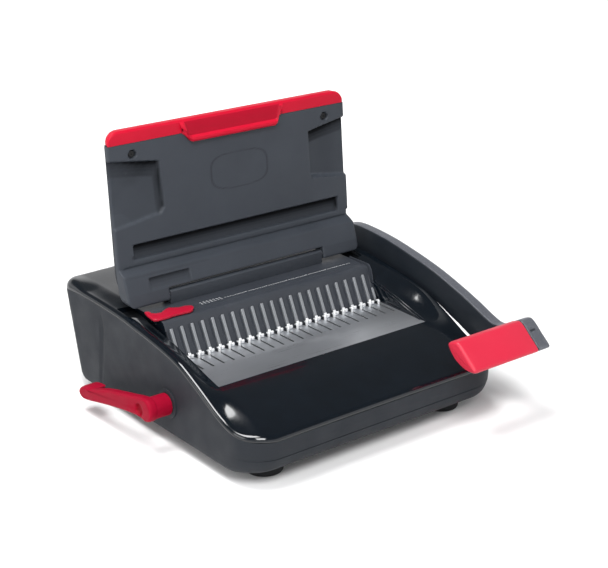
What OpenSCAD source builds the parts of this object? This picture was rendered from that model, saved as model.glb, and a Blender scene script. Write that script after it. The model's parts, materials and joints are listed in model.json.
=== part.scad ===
// Manual comb binding machine: punch, comb opener, paper-rest cover and chip tray.
// X runs along the row of comb fingers, Y to the back, Z up. Millimetres.

/* [Body] */
// Width of the housing over its side walls
body_w = 370; // [366:1:376]
// Height of the housing floor above the table
floor_h = 15; // [12:1:16]
// Wall thickness of the mouldings
wall = 3; // [2:0.5:3.5]
// Radius of the front corners in plan
corner_f = 40; // [30:1:45]
// Radius of the rear corners in plan
corner_r = 24; // [16:1:30]
// Radius of a rubber foot
foot_r = 22; // [16:1:24]

/* [Comb deck] */
// Distance between neighbouring comb fingers
pitch = 14.2875; // [14.2875]
// Number of comb resting bars
bars = 22; // [20:1:22]
// Height of the slotted deck plate's top face
deck_z = 88; // [88]
// Width of the slotted deck plate
deck_w = 306; // [304:1:306]
// Sideways offset of the deck and cover from the middle of the housing
deck_dx = -4; // [-4:1:-2]
// Gap of the paper throat
throat = 3.4; // [2.5:0.1:3.5]

/* [Cover] */
// Width of the cover
cover_w = 344; // [340:1:344]
// Height of the open cover's top edge
cover_top = 338; // [322:1:340]
// Lean of the open cover, in degrees
lean = 4.9; // [4.9]
// Height of the cover hinge axis
hinge_z = 141.5; // [141.5]
// Distance of the cover hinge axis behind the finger row
hinge_y = 69; // [69]

/* [Punch lever] */
// Height of the drive shaft
shaft_z = 100; // [100]
// Distance of the drive shaft behind the finger row
shaft_y = 118; // [118]
// Pitch radius of the drive pinions
drive_r = 8; // [8]
// Length of the red grip
grip_l = 104; // [90:1:106]

/* [Comb lever] */
// Height of the comb shaft
comb_z = 54; // [54]
// Distance of the comb shaft from the finger row (negative is in front)
comb_y = -25; // [-25]
// Pitch radius of the comb pinions
comb_r = 16; // [16]

/* [Hidden] */
$fn = 48;
e = 0.01;
hw = body_w / 2;
x_out = 208;         // outer face of the lever's end cap
x_in = -217;         // outer face of the comb lever
y_front = -236;      // front edge of the grip
y_back = 211;        // rear edge of the housing
ox = -(x_out + x_in) / 2;
oy = -(y_front + y_back) / 2;
dx = deck_dx;
n = bars;
function bx(i) = pitch * (i - (n - 1) / 2);      // middle of bar i
function mx(i) = pitch * (i - (n - 2) / 2);      // gap between bars i and i + 1
sl = tan(lean);
ct = cover_top;
function cy(z) = 84 + (z - 176) * sl;            // inner face of the open cover

module at() { translate([ox, oy, 0]) children(); }
// a YZ outline carried along X from x0 to x1
module xp(x0, x1, pts) { translate([x0, 0, 0]) rotate([90, 0, 90]) linear_extrude(x1 - x0) polygon(pts); }
module xcyl(x0, x1, y, z, r) { translate([x0, y, z]) rotate([0, 90, 0]) cylinder(r = r, h = x1 - x0); }
module bx3(x0, x1, y0, y1, z0, z1) { translate([x0, y0, z0]) cube([x1 - x0, y1 - y0, z1 - z0]); }
// rounded rectangle in plan
module plan(o, z0, z1) {
  rf = corner_f - o; rb = corner_r - o; a = hw - o; f = -184 + o; b = y_back - o;
  translate([0, 0, z0]) linear_extrude(z1 - z0) union() {
    translate([-a, f + rf]) square([2 * a, b - rb - f - rf]);
    translate([-a + rf, f]) square([2 * (a - rf), rf + 1]);
    translate([-a + rb, b - rb - 1]) square([2 * (a - rb), rb + 1]);
    for (s = [-1, 1]) { translate([s * (a - rf), f + rf]) circle(rf, $fn = 96); translate([s * (a - rb), b - rb]) circle(rb, $fn = 96); }
  }
}
seam = [[211, 122], [209, 124], [157, 128], [110, 127], [62, 124], [40, 121], [-4, 115], [-46, 106], [-74, 94], [-106, 78], [-133, 66], [-160, 60.5], [-184, 58]];
low_out = [[-184, 58], [-183, 38], [-176, 22], [-164, floor_h], [176, floor_h], [186, 22], [211, 122]];
low_in = [[-181, 200], [-181, 56], [-180, 39], [-173.5, 25], [-163, floor_h + wall], [175, floor_h + wall], [183.5, 24], [207.8, 122], [207.8, 200]];
top_out = [[-184, 58], [-180, 63], [-165, 67], [-133, 76.5], [-106, 84], [-86, 90.5], [-74, 96.5], [-46, 108.5], [-4, 117], [40, 123.5], [62, 126.5], [110, 132.5], [157, 135.5], [192, 136], [203, 135], [209, 130], [211, 122]];
top_in = [[-181, 50], [-179, 59], [-165, 63.6], [-134, 73], [-107, 80.6], [-87, 87.2], [-75.4, 93.2], [-47, 105.3], [-4, 113.9], [40, 120.4], [62, 123.4], [110, 129.4], [157, 132.4], [192, 132.9], [201, 132], [206, 128], [208, 121], [208, 50]];

// ---------------------------------------------------------------- housing
module base_tub() { at() color([0.20, 0.21, 0.23]) difference() {
  intersection() { xp(-hw, hw, concat(low_out, seam)); plan(0, 0, 200); }
  intersection() { xp(-hw + wall, hw - wall, low_in); plan(wall, 0, 200); }
  xcyl(-hw - 5, -hw + 8, comb_y, comb_z, 7);
  xcyl(hw - 8, hw + 5, shaft_y, shaft_z, 9);
  // tray opening in the rear wall
  bx3(-152, 152, 150, 230, floor_h + wall, 43);
  for (p = foot_xy) translate([p[0], p[1], 0]) cylinder(r = 2, h = 40);
} }
module top_shell() { at() color([0.06, 0.07, 0.08]) difference() {
  union() {
    difference() {
      intersection() { xp(-hw, hw, concat(top_out, seam)); plan(0, 0, 200); }
      intersection() { union() {
        xp(-hw + wall, dx - 156, top_in); xp(dx + 156, hw - wall, top_in);
        intersection() { xp(dx - 157, dx + 157, top_in); bx3(-200, 200, -200, -89, 0, 200); }
        intersection() { xp(dx - 157, dx + 157, top_in); bx3(-200, 200, 91, 230, 0, 200); }
      } plan(wall, 0, 200); }
    }
    // walls of the deck well
    for (s = [-1, 1]) intersection() { xp(dx + s * 154.5 - 1.5, dx + s * 154.5 + 1.5, concat([[91, 84], [-89, 84]], [for (p = top_out) if (p[0] > -89 && p[0] < 91) p], [[91, 130]])); bx3(-200, 200, -89, 91, 0, 200); }
    bx3(dx - 156, dx + 156, -89, -86, 84, 89.2);
    bx3(dx - 156, dx + 156, 88, 91, 118, 128);
    // floor of the hinge relief
    xp(dx - 178, dx + 178, [[57, 121.4], [91, 121.4], [91, 130.2], [62, 126.5], [57, 125.8]]);
  }
  // the deck well, with a ledge that carries the deck plate
  difference() {
    bx3(dx - 153, dx + 153, -86, 88, 0, 200);
    difference() { bx3(dx - 154, dx + 154, -87, -0.5, 83.6, deck_z - 1.5); bx3(dx - 149.5, dx + 149.5, -81, 10, 80, 90); }
  }
  // relief for the cover's knuckles and its hinge line
  bx3(dx - 175, dx + 175, 60, 88, 124.4, 200);
} }
module deck_plate() { at() color([0.72, 0.74, 0.76]) difference() {
  bx3(dx - 152.7, dx + 152.7, -85.7, 0.2, deck_z - 1.5, deck_z);
  for (i = [0 : n - 2]) translate([mx(i), 0, 0]) {
    bx3(-1.3, 1.3, -36, 1, deck_z - 3, deck_z + 2);
    translate([0, 0, deck_z - 3]) linear_extrude(6) polygon([[-1.3, -9], [1.3, -9], [4, 1], [-4, 1]]);
  }
} }
// ---------------------------------------------------------------- comb rest
ry0 = 0.4 + throat + 0.4;
function rest_z(y) = 92 + (y - ry0 - 2) * 34.5 / (20 - ry0);   // slanted face of the comb rest
module comb_rest() { at() color([0.27, 0.29, 0.31]) union() {
  difference() { xp(dx - 152.6, dx + 152.6, [[ry0, 84.2], [ry0, 88], [ry0 + 2, 92], [22, 126.5], [24, 129], [64.8, 129.5], [84, 129.5], [84, 126.5], [25, 126], [9, 93], [9, 84.2]]);
    bx3(-148, -106, 39, 43, 120, 132); }
  // end wall on the left, raised end cheek on the right
  xp(dx - 152.6, dx - 151.2, [[ry0, 84.2], [ry0, 88], [ry0 + 2, 92], [22, 126.5], [24, 129], [84, 129.5], [84, 122], [60, 118], [20, 98], [9, 84.2]]);
  xp(dx + 151.4, dx + 152.6, [[ry0, 86], [14, 126], [19, 132.4], [58, 132.4], [58, 128], [10, 88]]);
} }
module comb_bars() { at() color([0.62, 0.64, 0.67]) union() {
  // short end bar beside the cheek
  translate([bx(n - 1), 0, 0]) xp(-5.9, -2.9, [[1.2, deck_z + 0.3], [ry0, deck_z + 0.3], [ry0 + 2, 92], [11, rest_z(11)], [9.8, rest_z(11) + 3], [3, 94]]);
  for (i = [0 : n - 2]) translate([bx(i), 0, 0]) {
    xp(-2.2, 2.2, [[1.2, deck_z + 0.3], [ry0, deck_z + 0.3], [ry0 + 2, 92], [18.6, rest_z(18.6)], [17.4, 122.8], [3, 94]]);
    xp(-1.6, 1.6, [[1.2, deck_z + 0.3], [-3.6, deck_z + 0.3], [-4.4, deck_z + 3.4], [-3.2, deck_z + 5], [-2.2, deck_z + 3], [1, deck_z + 3], [3, deck_z + 6], [4.1, deck_z + 3], [4.1, deck_z + 0.3]]);
  }
} }
module scale_strip() { at() color([0.80, 0.81, 0.82]) for (i = [0 : 56]) bx3(dx - 112 + i * 4, dx - 110.8 + i * 4, 27.4, i % 5 == 0 ? 32 : 30, 129.12, 129.5); }
module hinge_block() { at() color([0.24, 0.26, 0.28]) difference() {
  xp(dx - 114, dx + 114, [[65.3, 129.5], [65.3, 144.5], [67, 146.3], [72, 146.6], [76, 145], [84, 140], [84, 129.5]]);
  for (s = [-1, 1]) xcyl(dx + s * 107 - 8, dx + s * 107 + 8, hinge_y, hinge_z, 2.5);
} }
module hinge_pins() { at() color([0.75, 0.76, 0.78]) for (s = [-1, 1]) xcyl(dx + s * 124 - 25, dx + s * 124 + 25, hinge_y, hinge_z, 2.5); }

// ---------------------------------------------------------------- chassis
frame_pts = [[-50, 18], [146, 18], [146, 96], [132, 114], [96, 114], [60, 104], [-14, 84], [-50, 76]];
module side_frame(x0) { difference() {
  xp(x0, x0 + 3, frame_pts);
  xcyl(x0 - 1, x0 + 4, comb_y, comb_z, 8);
  xcyl(x0 - 1, x0 + 4, shaft_y, shaft_z, 9);
  xcyl(x0 - 1, x0 + 4, 60, 50, 14);
} }
module side_frame_left() { at() color([0.60, 0.61, 0.63]) side_frame(-176); }
module side_frame_right() { at() color([0.60, 0.61, 0.63]) side_frame(173); }
module tie_rods() { at() color([0.66, 0.67, 0.69]) for (q = [[16, 52], [80, 60], [136, 60]]) xcyl(-173, 173, q[0], q[1], 3); }
module die_plate() { at() color([0.55, 0.56, 0.58]) difference() {
  union() { bx3(-156, 156, -3.4, 0.6, 50, 84); bx3(-173, 173, -3.4, 0.6, 50, 64); }
  for (i = [0 : n - 2]) bx3(mx(i) - 4.3, mx(i) + 4.3, -4, 1, 64.3, 67.7);
} }
module pin_guide() { at() color([0.55, 0.56, 0.58]) difference() {
  union() { bx3(-156, 156, 0.6 + throat, 10.5, 56, 84); bx3(-173, 173, 0.6 + throat, 10.5, 56, 64); }
  for (i = [0 : n - 2]) bx3(mx(i) - 4.3, mx(i) + 4.3, 2, 12, 64.3, 67.7);
} }
module throat_stop() { at() color([0.45, 0.46, 0.48]) union() {
  bx3(-156, 156, 0.6, 0.6 + throat, 56, 60);
  for (s = [-1, 1]) bx3(s * 153.5 - 2.5, s * 153.5 + 2.5, 0.6, 0.6 + throat, 60, 84);
} }
module drive_bushes() { at() color([0.72, 0.55, 0.28]) for (x = [-177, 172]) difference() {
  xcyl(x, x + 5, shaft_y, shaft_z, 9); xcyl(x - 1, x + 6, shaft_y, shaft_z, 5.05);
} }
module comb_bushes() { at() color([0.72, 0.55, 0.28]) for (x = [-177, 172]) difference() {
  xcyl(x, x + 5, comb_y, comb_z, 8); xcyl(x - 1, x + 6, comb_y, comb_z, 4.05);
} }
module lever_collar() { at() color([0.16, 0.17, 0.19]) difference() {
  union() { xcyl(-hw - 1.2, -hw, comb_y, comb_z, 17.5); xcyl(-hw, -hw + wall, comb_y, comb_z, 7); }
  xcyl(-hw - 3, -hw + 5, comb_y, comb_z, 4.6);
} }
module guide_rail() { at() color([0.66, 0.67, 0.69]) union() {
  bx3(-154, -100, 38, 44, 118, 122);
  for (x = [-154, -102]) bx3(x, x + 2, 38, 44, 121, 126.1);
} }
module tray_runners() { at() color([0.30, 0.31, 0.33]) for (s = [-1, 1]) bx3(s * 156 - 3, s * 156 + 3, -100, 172, floor_h + wall, 26); }
foot_xy = [[-132, -134], [132, -134], [-140, 150], [140, 150]];
module rubber_feet() { at() color([0.08, 0.08, 0.08]) for (p = foot_xy) translate([p[0], p[1], 0]) difference() {
  rotate_extrude($fn = 64) polygon([[0, 0], [foot_r - 1.5, 0], [foot_r, 2], [foot_r, floor_h - 1], [foot_r - 1, floor_h], [0, floor_h]]);
  translate([0, 0, -1]) cylinder(r = 5, h = 7);
  cylinder(r = 2, h = 30);
} }
module foot_screws() { at() color([0.6, 0.6, 0.62]) for (p = foot_xy) translate([p[0], p[1], 0]) difference() {
  union() { translate([0, 0, 3]) cylinder(r = 4, h = 3); translate([0, 0, 6]) cylinder(r = 2, h = floor_h + wall - 6); }
  translate([0, 0, 2]) cylinder(r = 1.6, h = 2.5, $fn = 6);
} }
module frame_screws() { at() color([0.6, 0.6, 0.62]) for (x = [-1, 1]) for (q = [[-40, 30], [136, 30], [136, 90]]) difference() {
  xcyl(x > 0 ? 170.5 : -173, x > 0 ? 173 : -170.5, q[0], q[1], 4);
  xcyl(x > 0 ? 170 : -172, x > 0 ? 172 : -170, q[0], q[1], 1.5, $fn = 6);
} }

// ---------------------------------------------------------------- cover
module liner_out() { polygon([[62, 136.5], [66.5, 150], [74, 172], [cy(176) - 1.5, 174], [cy(176), 178], [cy(ct - 16), ct - 16], [cy(ct - 16) + 6, ct - 16], [cy(176) + 6, 176], [85, 150], [78, 137.5], [75, 135.5], [63, 135.5]]); }
module cover_liner() { at() color([0.27, 0.29, 0.31]) difference() {
  translate([dx - cover_w / 2, 0, 0]) rotate([90, 0, 90]) linear_extrude(cover_w) liner_out();
  // notch around the fixed hinge block
  bx3(dx - 115, dx + 115, 50, 110, 120, 150);
  for (s = [-1, 1]) { bx3(dx + s * 172 - 8.5, dx + s * 172 + 8.5, 50, 110, 120, 150);
    xcyl(dx + s * 140 - 30, dx + s * 140 + 30, hinge_y, hinge_z, 2.55); }
  // cross trough
  xp(dx - 154, dx + 154, [[cy(185) - 3, 185], [cy(185) + 3.5, 185], [cy(203) + 3.5, 203], [cy(203) - 3, 203]]);
  // side pockets
  for (s = [-1, 1]) translate([dx + s * 138, 0, 0]) xp(-30, 30, [[cy(232) - 3, 232], [cy(232) + 2.5, 232], [cy(296) + 2.5, 296], [cy(296) - 3, 296]]);
  for (s = [-1, 1]) translate([dx + s * 140, cy(309) + 4.83, 309]) rotate([90 - lean, 0, 0]) cylinder(r = 4, h = 12);
} }
module cover_skin() { at() color([0.10, 0.11, 0.12]) difference() {
  xp(dx - cover_w / 2, dx + cover_w / 2, [[85.1, 150.2], [cy(176) + 6.1, 176], [cy(ct - 16) + 6.1, ct - 16], [cy(ct - 16) + 15, ct - 16], [cy(176) + 18, 176], [99, 150.2]]);
  xp(dx - cover_w / 2 + 3, dx + cover_w / 2 - 3, [[84, 153], [cy(176) + 3, 176], [cy(ct - 19) + 3, ct - 19], [cy(ct - 19) + 12, ct - 19], [cy(176) + 15, 176], [96, 153]]);
} }
module cover_handle() { at() color([0.78, 0.09, 0.18]) union() {
  xp(dx - cover_w / 2, dx + cover_w / 2, [[cy(ct - 15.9) - 1.5, ct - 15.9], [cy(ct - 4) - 1.5, ct - 3], [cy(ct - 2), ct], [cy(ct) + 11.5, ct], [cy(ct - 4) + 15, ct - 4], [cy(ct - 15.9) + 15, ct - 15.9]]);
  xp(dx - 72, dx + 74, [[cy(ct - 3) - 1.4, ct - 2.5], [cy(ct - 18) - 7.5, ct - 18], [cy(ct - 23) - 8, ct - 23], [cy(ct - 26.5) - 5.5, ct - 26.5], [cy(ct - 26.5) - 0.2, ct - 26.5], [cy(ct - 15.9) - 0.2, ct - 15.9], [cy(ct - 14) - 0.2, ct - 14]]);
} }
module liner_screws() { at() color([0.12, 0.12, 0.13]) for (s = [-1, 1]) translate([dx + s * 140, cy(309) + 3.6, 309]) rotate([90 - lean, 0, 0]) difference() {
  cylinder(r = 3.6, h = 2.4, center = true); translate([0, 0, 0.4]) cylinder(r = 1.4, h = 2, $fn = 6);
} }

// ---------------------------------------------------------------- punch lever
arm_pts = [[142, 96], [142, 112], [138, 129], [128, 143], [114, 152], [98, 156], [73, 156], [33, 152.5], [-11, 145], [-54, 135.5], [-92, 124], [-122, 113.5], [-148, 103],
  [-163, 99], [-177, 102], [-190, 110], [-201, 116.5], [-209, 115], [-222, 104], [-234.5, 93.5], [-236, 90], [-231, 88.5], [-214, 93], [-196, 92],
  [-184, 80], [-168, 70], [-152, 66], [-135, 67], [-122, 72], [-101, 81], [-88, 86], [-64, 96], [-40, 103], [20, 112], [70, 112], [88, 100], [94, 92], [100, 84], [112, 77], [128, 78], [138, 86]];
module lever_arm() { at() color([0.36, 0.37, 0.40]) difference() {
  union() {
    xp(188, 204, arm_pts);
    // end cap and the tang that carries the grip
    xp(190, x_out, [[-190, 110], [-201, 116.5], [-209, 115], [-222, 104], [-234.5, 93.5], [-236, 90], [-231, 88.5], [-214, 93], [-196, 102]]);
    xp(190 - grip_l + 8, 190, grip_in);
  }
  xcyl(180, 210, shaft_y, shaft_z, 5);
} }
grip_out = [[-190, 110], [-201, 116.5], [-209, 115], [-222, 104], [-234.5, 93.5], [-236, 90], [-231, 87], [-216, 88], [-200, 96]];
grip_in = [[-197, 108.5], [-203, 111], [-209, 109.5], [-218, 102], [-227, 94.5], [-225, 93], [-216, 94], [-204, 101]];
module lever_grip() { at() color([0.80, 0.12, 0.20]) difference() {
  xp(190 - grip_l, 187.9, grip_out);
  xp(190 - grip_l + 7.9, 191, grip_in);
} }
module drive_shaft() { at() color([0.70, 0.71, 0.73]) xcyl(-179, 205, shaft_y, shaft_z, 5); }
// straight-flank gear outline with t teeth, pitch radius r, module 1, a tooth pointing along +Y of its own plane
module gear2d(t, r) { union() { circle(r - 1.2); for (k = [0 : t - 1]) rotate(k * 360 / t) polygon([[-0.78, r - 1.6], [0.78, r - 1.6], [0.55, r - 0.1], [0.22, r + 0.85], [-0.22, r + 0.85], [-0.55, r - 0.1]]); } }
module gear_x(x0, x1, y, z, t, r, b) { translate([x0, y, z]) rotate([90, 0, 90]) linear_extrude(x1 - x0) difference() { gear2d(t, r); circle(b); } }
module drive_pinions() { at() color([0.50, 0.51, 0.53]) for (s = [-1, 1]) gear_x(s * 130 - 4, s * 130 + 4, shaft_y, shaft_z, 16, drive_r, 5); }
module pivot_washer() { at() color([0.70, 0.71, 0.73]) difference() { xcyl(204, 205, shaft_y, shaft_z, 11); xcyl(203, 206, shaft_y, shaft_z, 5); } }
module pivot_bolt() { at() color([0.30, 0.31, 0.33]) difference() { xcyl(205, 207.8, shaft_y, shaft_z, 9); xcyl(206.6, 209, shaft_y, shaft_z, 3, $fn = 6); } }

// ---------------------------------------------------------------- punch bar
module punch_bar() { at() color([0.52, 0.53, 0.55]) bx3(-152, 152, 24, 34, 59, 73); }
module punch_pins() { at() color([0.78, 0.79, 0.80]) for (i = [0 : n - 2]) bx3(mx(i) - 4, mx(i) + 4, -2, 24, 64.6, 67.4); }
module punch_racks() { at() color([0.52, 0.53, 0.55]) for (s = [-1, 1]) translate([s * 130 - 4, 0, 0]) union() {
  xp(0, 8, [[24, 73], [34, 73], [34, 104], [40, 110], [134, 110], [134, 114.5], [36, 114.5], [24, 104]]);
  for (k = [-4 : 3]) xp(0, 8, [for (q = [[-0.85, 2], [-0.55, 0.1], [-0.25, -0.8], [0.25, -0.8], [0.55, 0.1], [0.85, 2]]) [shaft_y + PI * (k + 0.5) + q[0], shaft_z + drive_r + q[1] + 0.05]]);
} }

// ---------------------------------------------------------------- comb lever
module comb_lever() { at() color([0.78, 0.09, 0.18]) difference() {
  union() {
    xcyl(-214, -hw - 1.6, comb_y, comb_z, 13);
    xcyl(x_in, -208, comb_y, comb_z, 14);
    xp(-216, -206, [[comb_y - 2, comb_z + 14], [10, 60.5], [57, 49], [100, 35], [113, 32], [120, 29], [121, 24], [116, 19], [104, 19], [60, 29], [20, 37.5], [comb_y - 2, comb_z - 14]]);
    xp(-208, -196, [[92, 36.5], [100, 36.5], [115, 32.5], [119, 28], [116, 24], [96, 30]]);
  }
  xcyl(-209, -180, comb_y, comb_z, 4);
  translate([x_in - 1, -16, 51]) rotate([0, 90, 0]) cylinder(r = 7, h = 5);
} }
module comb_shaft() { at() color([0.70, 0.71, 0.73]) xcyl(-209, 179, comb_y, comb_z, 4); }
module comb_pinions() { at() color([0.50, 0.51, 0.53]) for (s = [-1, 1]) gear_x(s * 163 - 3, s * 163 + 3, comb_y, comb_z, 32, comb_r, 4); }
module shaft_clip() { at() color([0.66, 0.67, 0.69]) difference() { xcyl(177.2, 178.4, comb_y, comb_z, 7); xcyl(176, 180, comb_y, comb_z, 4); } }

// ---------------------------------------------------------------- opening rake
module rake_bar() { at() color([0.52, 0.53, 0.55]) bx3(-166, 166, -16, -6, 76.6, 81); }
module rake_hooks() { at() color([0.86, 0.87, 0.88]) for (i = [0 : n - 2]) xp(mx(i) - 0.8, mx(i) + 0.8, [[-8, 81], [-4.6, 81], [-4.6, deck_z + 3.4], [-1.6, deck_z + 2.6], [-1.6, deck_z + 4.6], [-5, deck_z + 6], [-8, deck_z + 4.5]]); }
module rake_racks() { at() color([0.52, 0.53, 0.55]) for (s = [-1, 1]) translate([s * 163 - 3, 0, 0]) union() {
  bx3(0, 6, -47, 8, 71.9, 76.6);
  for (k = [-6 : 9]) xp(0, 6, [for (q = [[-0.85, 2], [-0.55, 0.1], [-0.25, -0.8], [0.25, -0.8], [0.55, 0.1], [0.85, 2]]) [comb_y + PI * (k + 0.5) + q[0], comb_z + comb_r + q[1] + 0.05]]);
} }

// ---------------------------------------------------------------- edge guide and tray
module edge_guide() { at() color([0.80, 0.10, 0.18]) difference() {
  translate([0, 0, 129.9]) linear_extrude(3.1) polygon([[-160.5, 57], [-156, 54], [-156, 48], [-153, 44.2], [-146.5, 43], [-138.5, 48], [-131.5, 50.6], [-121.5, 43.6], [-112.5, 43.8],
    [-106.2, 39.5], [-106.6, 34.5], [-112.5, 28.2], [-117, 26.6], [-148, 26.8], [-162.5, 28], [-165, 30.5], [-164.8, 36], [-163, 48]]);
  // seat for the slider
  bx3(-146.2, -131.8, 37.2, 45.2, 129, 131.1);
} }
module guide_slider() { at() color([0.30, 0.31, 0.33]) union() { bx3(-146, -132, 37.4, 45, 129.9, 131); bx3(-146, -136, 39.6, 42.4, 122.3, 130); } }
module chip_tray() { at() color([0.22, 0.23, 0.25]) difference() {
  bx3(-150, 150, -96, 184, 18.6, 36);
  bx3(-147.5, 147.5, -93.5, 181.5, 20.8, 40);
} }
module tray_front() { at() color([0.22, 0.23, 0.25]) difference() {
  xp(-151, 151, [[184, 18.6], [186.3, 23.5], [190.8, 42.4], [187, 42.4], [184, 36]]);
} }

base_tub();
top_shell();
deck_plate();
comb_rest();
comb_bars();
scale_strip();
hinge_block();
hinge_pins();
side_frame_left();
side_frame_right();
tie_rods();
die_plate();
pin_guide();
throat_stop();
drive_bushes();
comb_bushes();
lever_collar();
guide_rail();
tray_runners();
rubber_feet();
foot_screws();
frame_screws();
cover_skin();
cover_liner();
cover_handle();
liner_screws();
lever_arm();
lever_grip();
drive_shaft();
drive_pinions();
pivot_bolt();
pivot_washer();
punch_bar();
punch_pins();
punch_racks();
comb_lever();
comb_shaft();
comb_pinions();
shaft_clip();
rake_bar();
rake_hooks();
rake_racks();
edge_guide();
guide_slider();
chip_tray();
tray_front();
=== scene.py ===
import bpy, bmesh, json, math
import numpy as np
from mathutils import Vector, Matrix


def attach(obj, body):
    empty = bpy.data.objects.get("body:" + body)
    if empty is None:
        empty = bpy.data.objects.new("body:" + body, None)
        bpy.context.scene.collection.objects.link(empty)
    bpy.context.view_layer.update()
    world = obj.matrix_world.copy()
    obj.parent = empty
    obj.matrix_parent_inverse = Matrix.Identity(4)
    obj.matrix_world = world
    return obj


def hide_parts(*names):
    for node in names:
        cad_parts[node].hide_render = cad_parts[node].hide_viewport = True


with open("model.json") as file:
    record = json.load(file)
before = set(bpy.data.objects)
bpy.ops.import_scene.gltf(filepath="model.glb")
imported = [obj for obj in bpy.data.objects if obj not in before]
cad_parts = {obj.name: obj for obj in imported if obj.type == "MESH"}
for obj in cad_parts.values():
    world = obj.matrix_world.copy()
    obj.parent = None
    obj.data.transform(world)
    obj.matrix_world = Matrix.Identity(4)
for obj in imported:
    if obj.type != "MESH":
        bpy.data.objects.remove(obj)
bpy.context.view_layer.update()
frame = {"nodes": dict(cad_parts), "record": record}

NODES = frame["nodes"]
OX, OY = 4.5, 12.5          # machine frame (finger row centre) -> row frame, mm
DX = -4.0                   # deck and cover offset
LEAN = math.radians(4.9)
SL = math.tan(LEAN)


def row(p):
    return ((p[0] + OX) / 1000, (p[1] + OY) / 1000, p[2] / 1000)


def cy(z):
    return 84 + (z - 176) * SL


# ------------------------------------------------------------------ mesh helpers
def new_obj(name, verts, faces, mat=None, smooth=True, angle=35):
    me = bpy.data.meshes.new(name)
    me.from_pydata([row(v) for v in verts], [], faces)
    me.validate()
    bm = bmesh.new(); bm.from_mesh(me)
    bmesh.ops.recalc_face_normals(bm, faces=bm.faces)
    bm.to_mesh(me); bm.free()
    ob = bpy.data.objects.new(name, me)
    bpy.context.scene.collection.objects.link(ob)
    if mat:
        me.materials.append(mat)
    if smooth:
        me.polygons.foreach_set("use_smooth", [True] * len(me.polygons))
        sharp_by_angle(ob, angle)
    return ob


def sharp_by_angle(ob, angle):
    bm = bmesh.new(); bm.from_mesh(ob.data)
    lim = math.radians(angle)
    for e in bm.edges:
        e.smooth = not (len(e.link_faces) == 2 and e.calc_face_angle(0) > lim)
    bm.to_mesh(ob.data); bm.free()


def pchip(xs, ys, x):
    xs = np.asarray(xs, float); ys = np.asarray(ys, float); x = np.asarray(x, float)
    h = np.diff(xs); d = np.diff(ys) / h
    m = np.zeros(len(xs)); m[0] = d[0]; m[-1] = d[-1]
    for i in range(1, len(xs) - 1):
        if d[i - 1] * d[i] > 0:
            w1 = 2 * h[i] + h[i - 1]; w2 = h[i] + 2 * h[i - 1]
            m[i] = (w1 + w2) / (w1 / d[i - 1] + w2 / d[i])
    k = np.clip(np.searchsorted(xs, x) - 1, 0, len(h) - 1)
    t = np.clip((x - xs[k]) / h[k], 0, 1)
    return ((1 + 2 * t) * (1 - t) ** 2 * ys[k] + t * (1 - t) ** 2 * h[k] * m[k]
            + t * t * (3 - 2 * t) * ys[k + 1] + t * t * (t - 1) * h[k] * m[k + 1])


def sstep(a, b, x):
    t = np.clip((np.asarray(x, float) - a) / (b - a), 0, 1)
    return t * t * (3 - 2 * t)


def grid_solid(name, front, back, mask, mat, wrap=False, angle=35):
    """front, back: (nu, nv, 3) arrays of points; mask: (nu-1 or nu, nv-1) of kept cells. Closed solid with walls at every border."""
    nu, nv = front.shape[:2]
    cu = nu if wrap else nu - 1
    verts = np.concatenate([front.reshape(-1, 3), back.reshape(-1, 3)])
    off = nu * nv
    idx = lambda i, j: (i % nu) * nv + j
    faces = []
    for i in range(cu):
        for j in range(nv - 1):
            if not mask[i, j]:
                continue
            a, b, c, d = idx(i, j), idx(i + 1, j), idx(i + 1, j + 1), idx(i, j + 1)
            faces.append((a, b, c, d)); faces.append((off + d, off + c, off + b, off + a))
            def empty(ii, jj):
                if wrap: ii %= nu
                return ii < 0 or jj < 0 or ii >= cu or jj >= nv - 1 or not mask[ii, jj]
            if empty(i, j - 1): faces.append((b, a, off + a, off + b))
            if empty(i, j + 1): faces.append((d, c, off + c, off + d))
            if empty(i - 1, j): faces.append((a, d, off + d, off + a))
            if empty(i + 1, j): faces.append((c, b, off + b, off + c))
    used = sorted({v for f in faces for v in f}); remap = {v: k for k, v in enumerate(used)}
    return new_obj(name, verts[used], [tuple(remap[v] for v in f) for f in faces], mat, angle=angle)


def loft(name, rings, mat, caps=True, angle=35):
    """rings: (n, m, 3) closed rings; skinned in order, capped at both ends."""
    rings = np.asarray(rings, float); n, m = rings.shape[:2]
    faces = [(i * m + j, i * m + (j + 1) % m, (i + 1) * m + (j + 1) % m, (i + 1) * m + j) for i in range(n - 1) for j in range(m)]
    if caps:
        faces.append(tuple(range(m))[::-1]); faces.append(tuple((n - 1) * m + j for j in range(m)))
    return new_obj(name, rings.reshape(-1, 3), faces, mat, angle=angle)


def resample(pts, step, closed=True, smooth=True):
    """Catmull-Rom through pts, then equal steps."""
    P = np.asarray(pts, float); n = len(P); out = []
    rng = range(n if closed else n - 1)
    for i in rng:
        p0, p1, p2, p3 = (P[(i - 1) % n], P[i], P[(i + 1) % n], P[(i + 2) % n]) if closed else (P[max(i - 1, 0)], P[i], P[i + 1], P[min(i + 2, n - 1)])
        k = max(2, int(np.linalg.norm(p2 - p1) / step * 3))
        for t in np.linspace(0, 1, k, endpoint=False):
            if smooth:
                out.append(0.5 * ((2 * p1) + (-p0 + p2) * t + (2 * p0 - 5 * p1 + 4 * p2 - p3) * t * t + (-p0 + 3 * p1 - 3 * p2 + p3) * t ** 3))
            else:
                out.append(p1 + (p2 - p1) * t)
    out = np.array(out)
    if closed: out = np.vstack([out, out[:1]])
    L = np.r_[0, np.cumsum(np.linalg.norm(np.diff(out, axis=0), axis=1))]
    m = max(8, int(L[-1] / step)); s = np.linspace(0, L[-1], m, endpoint=not closed)
    return np.stack([np.interp(s, L, out[:, k]) for k in range(out.shape[1])], -1)


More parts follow.
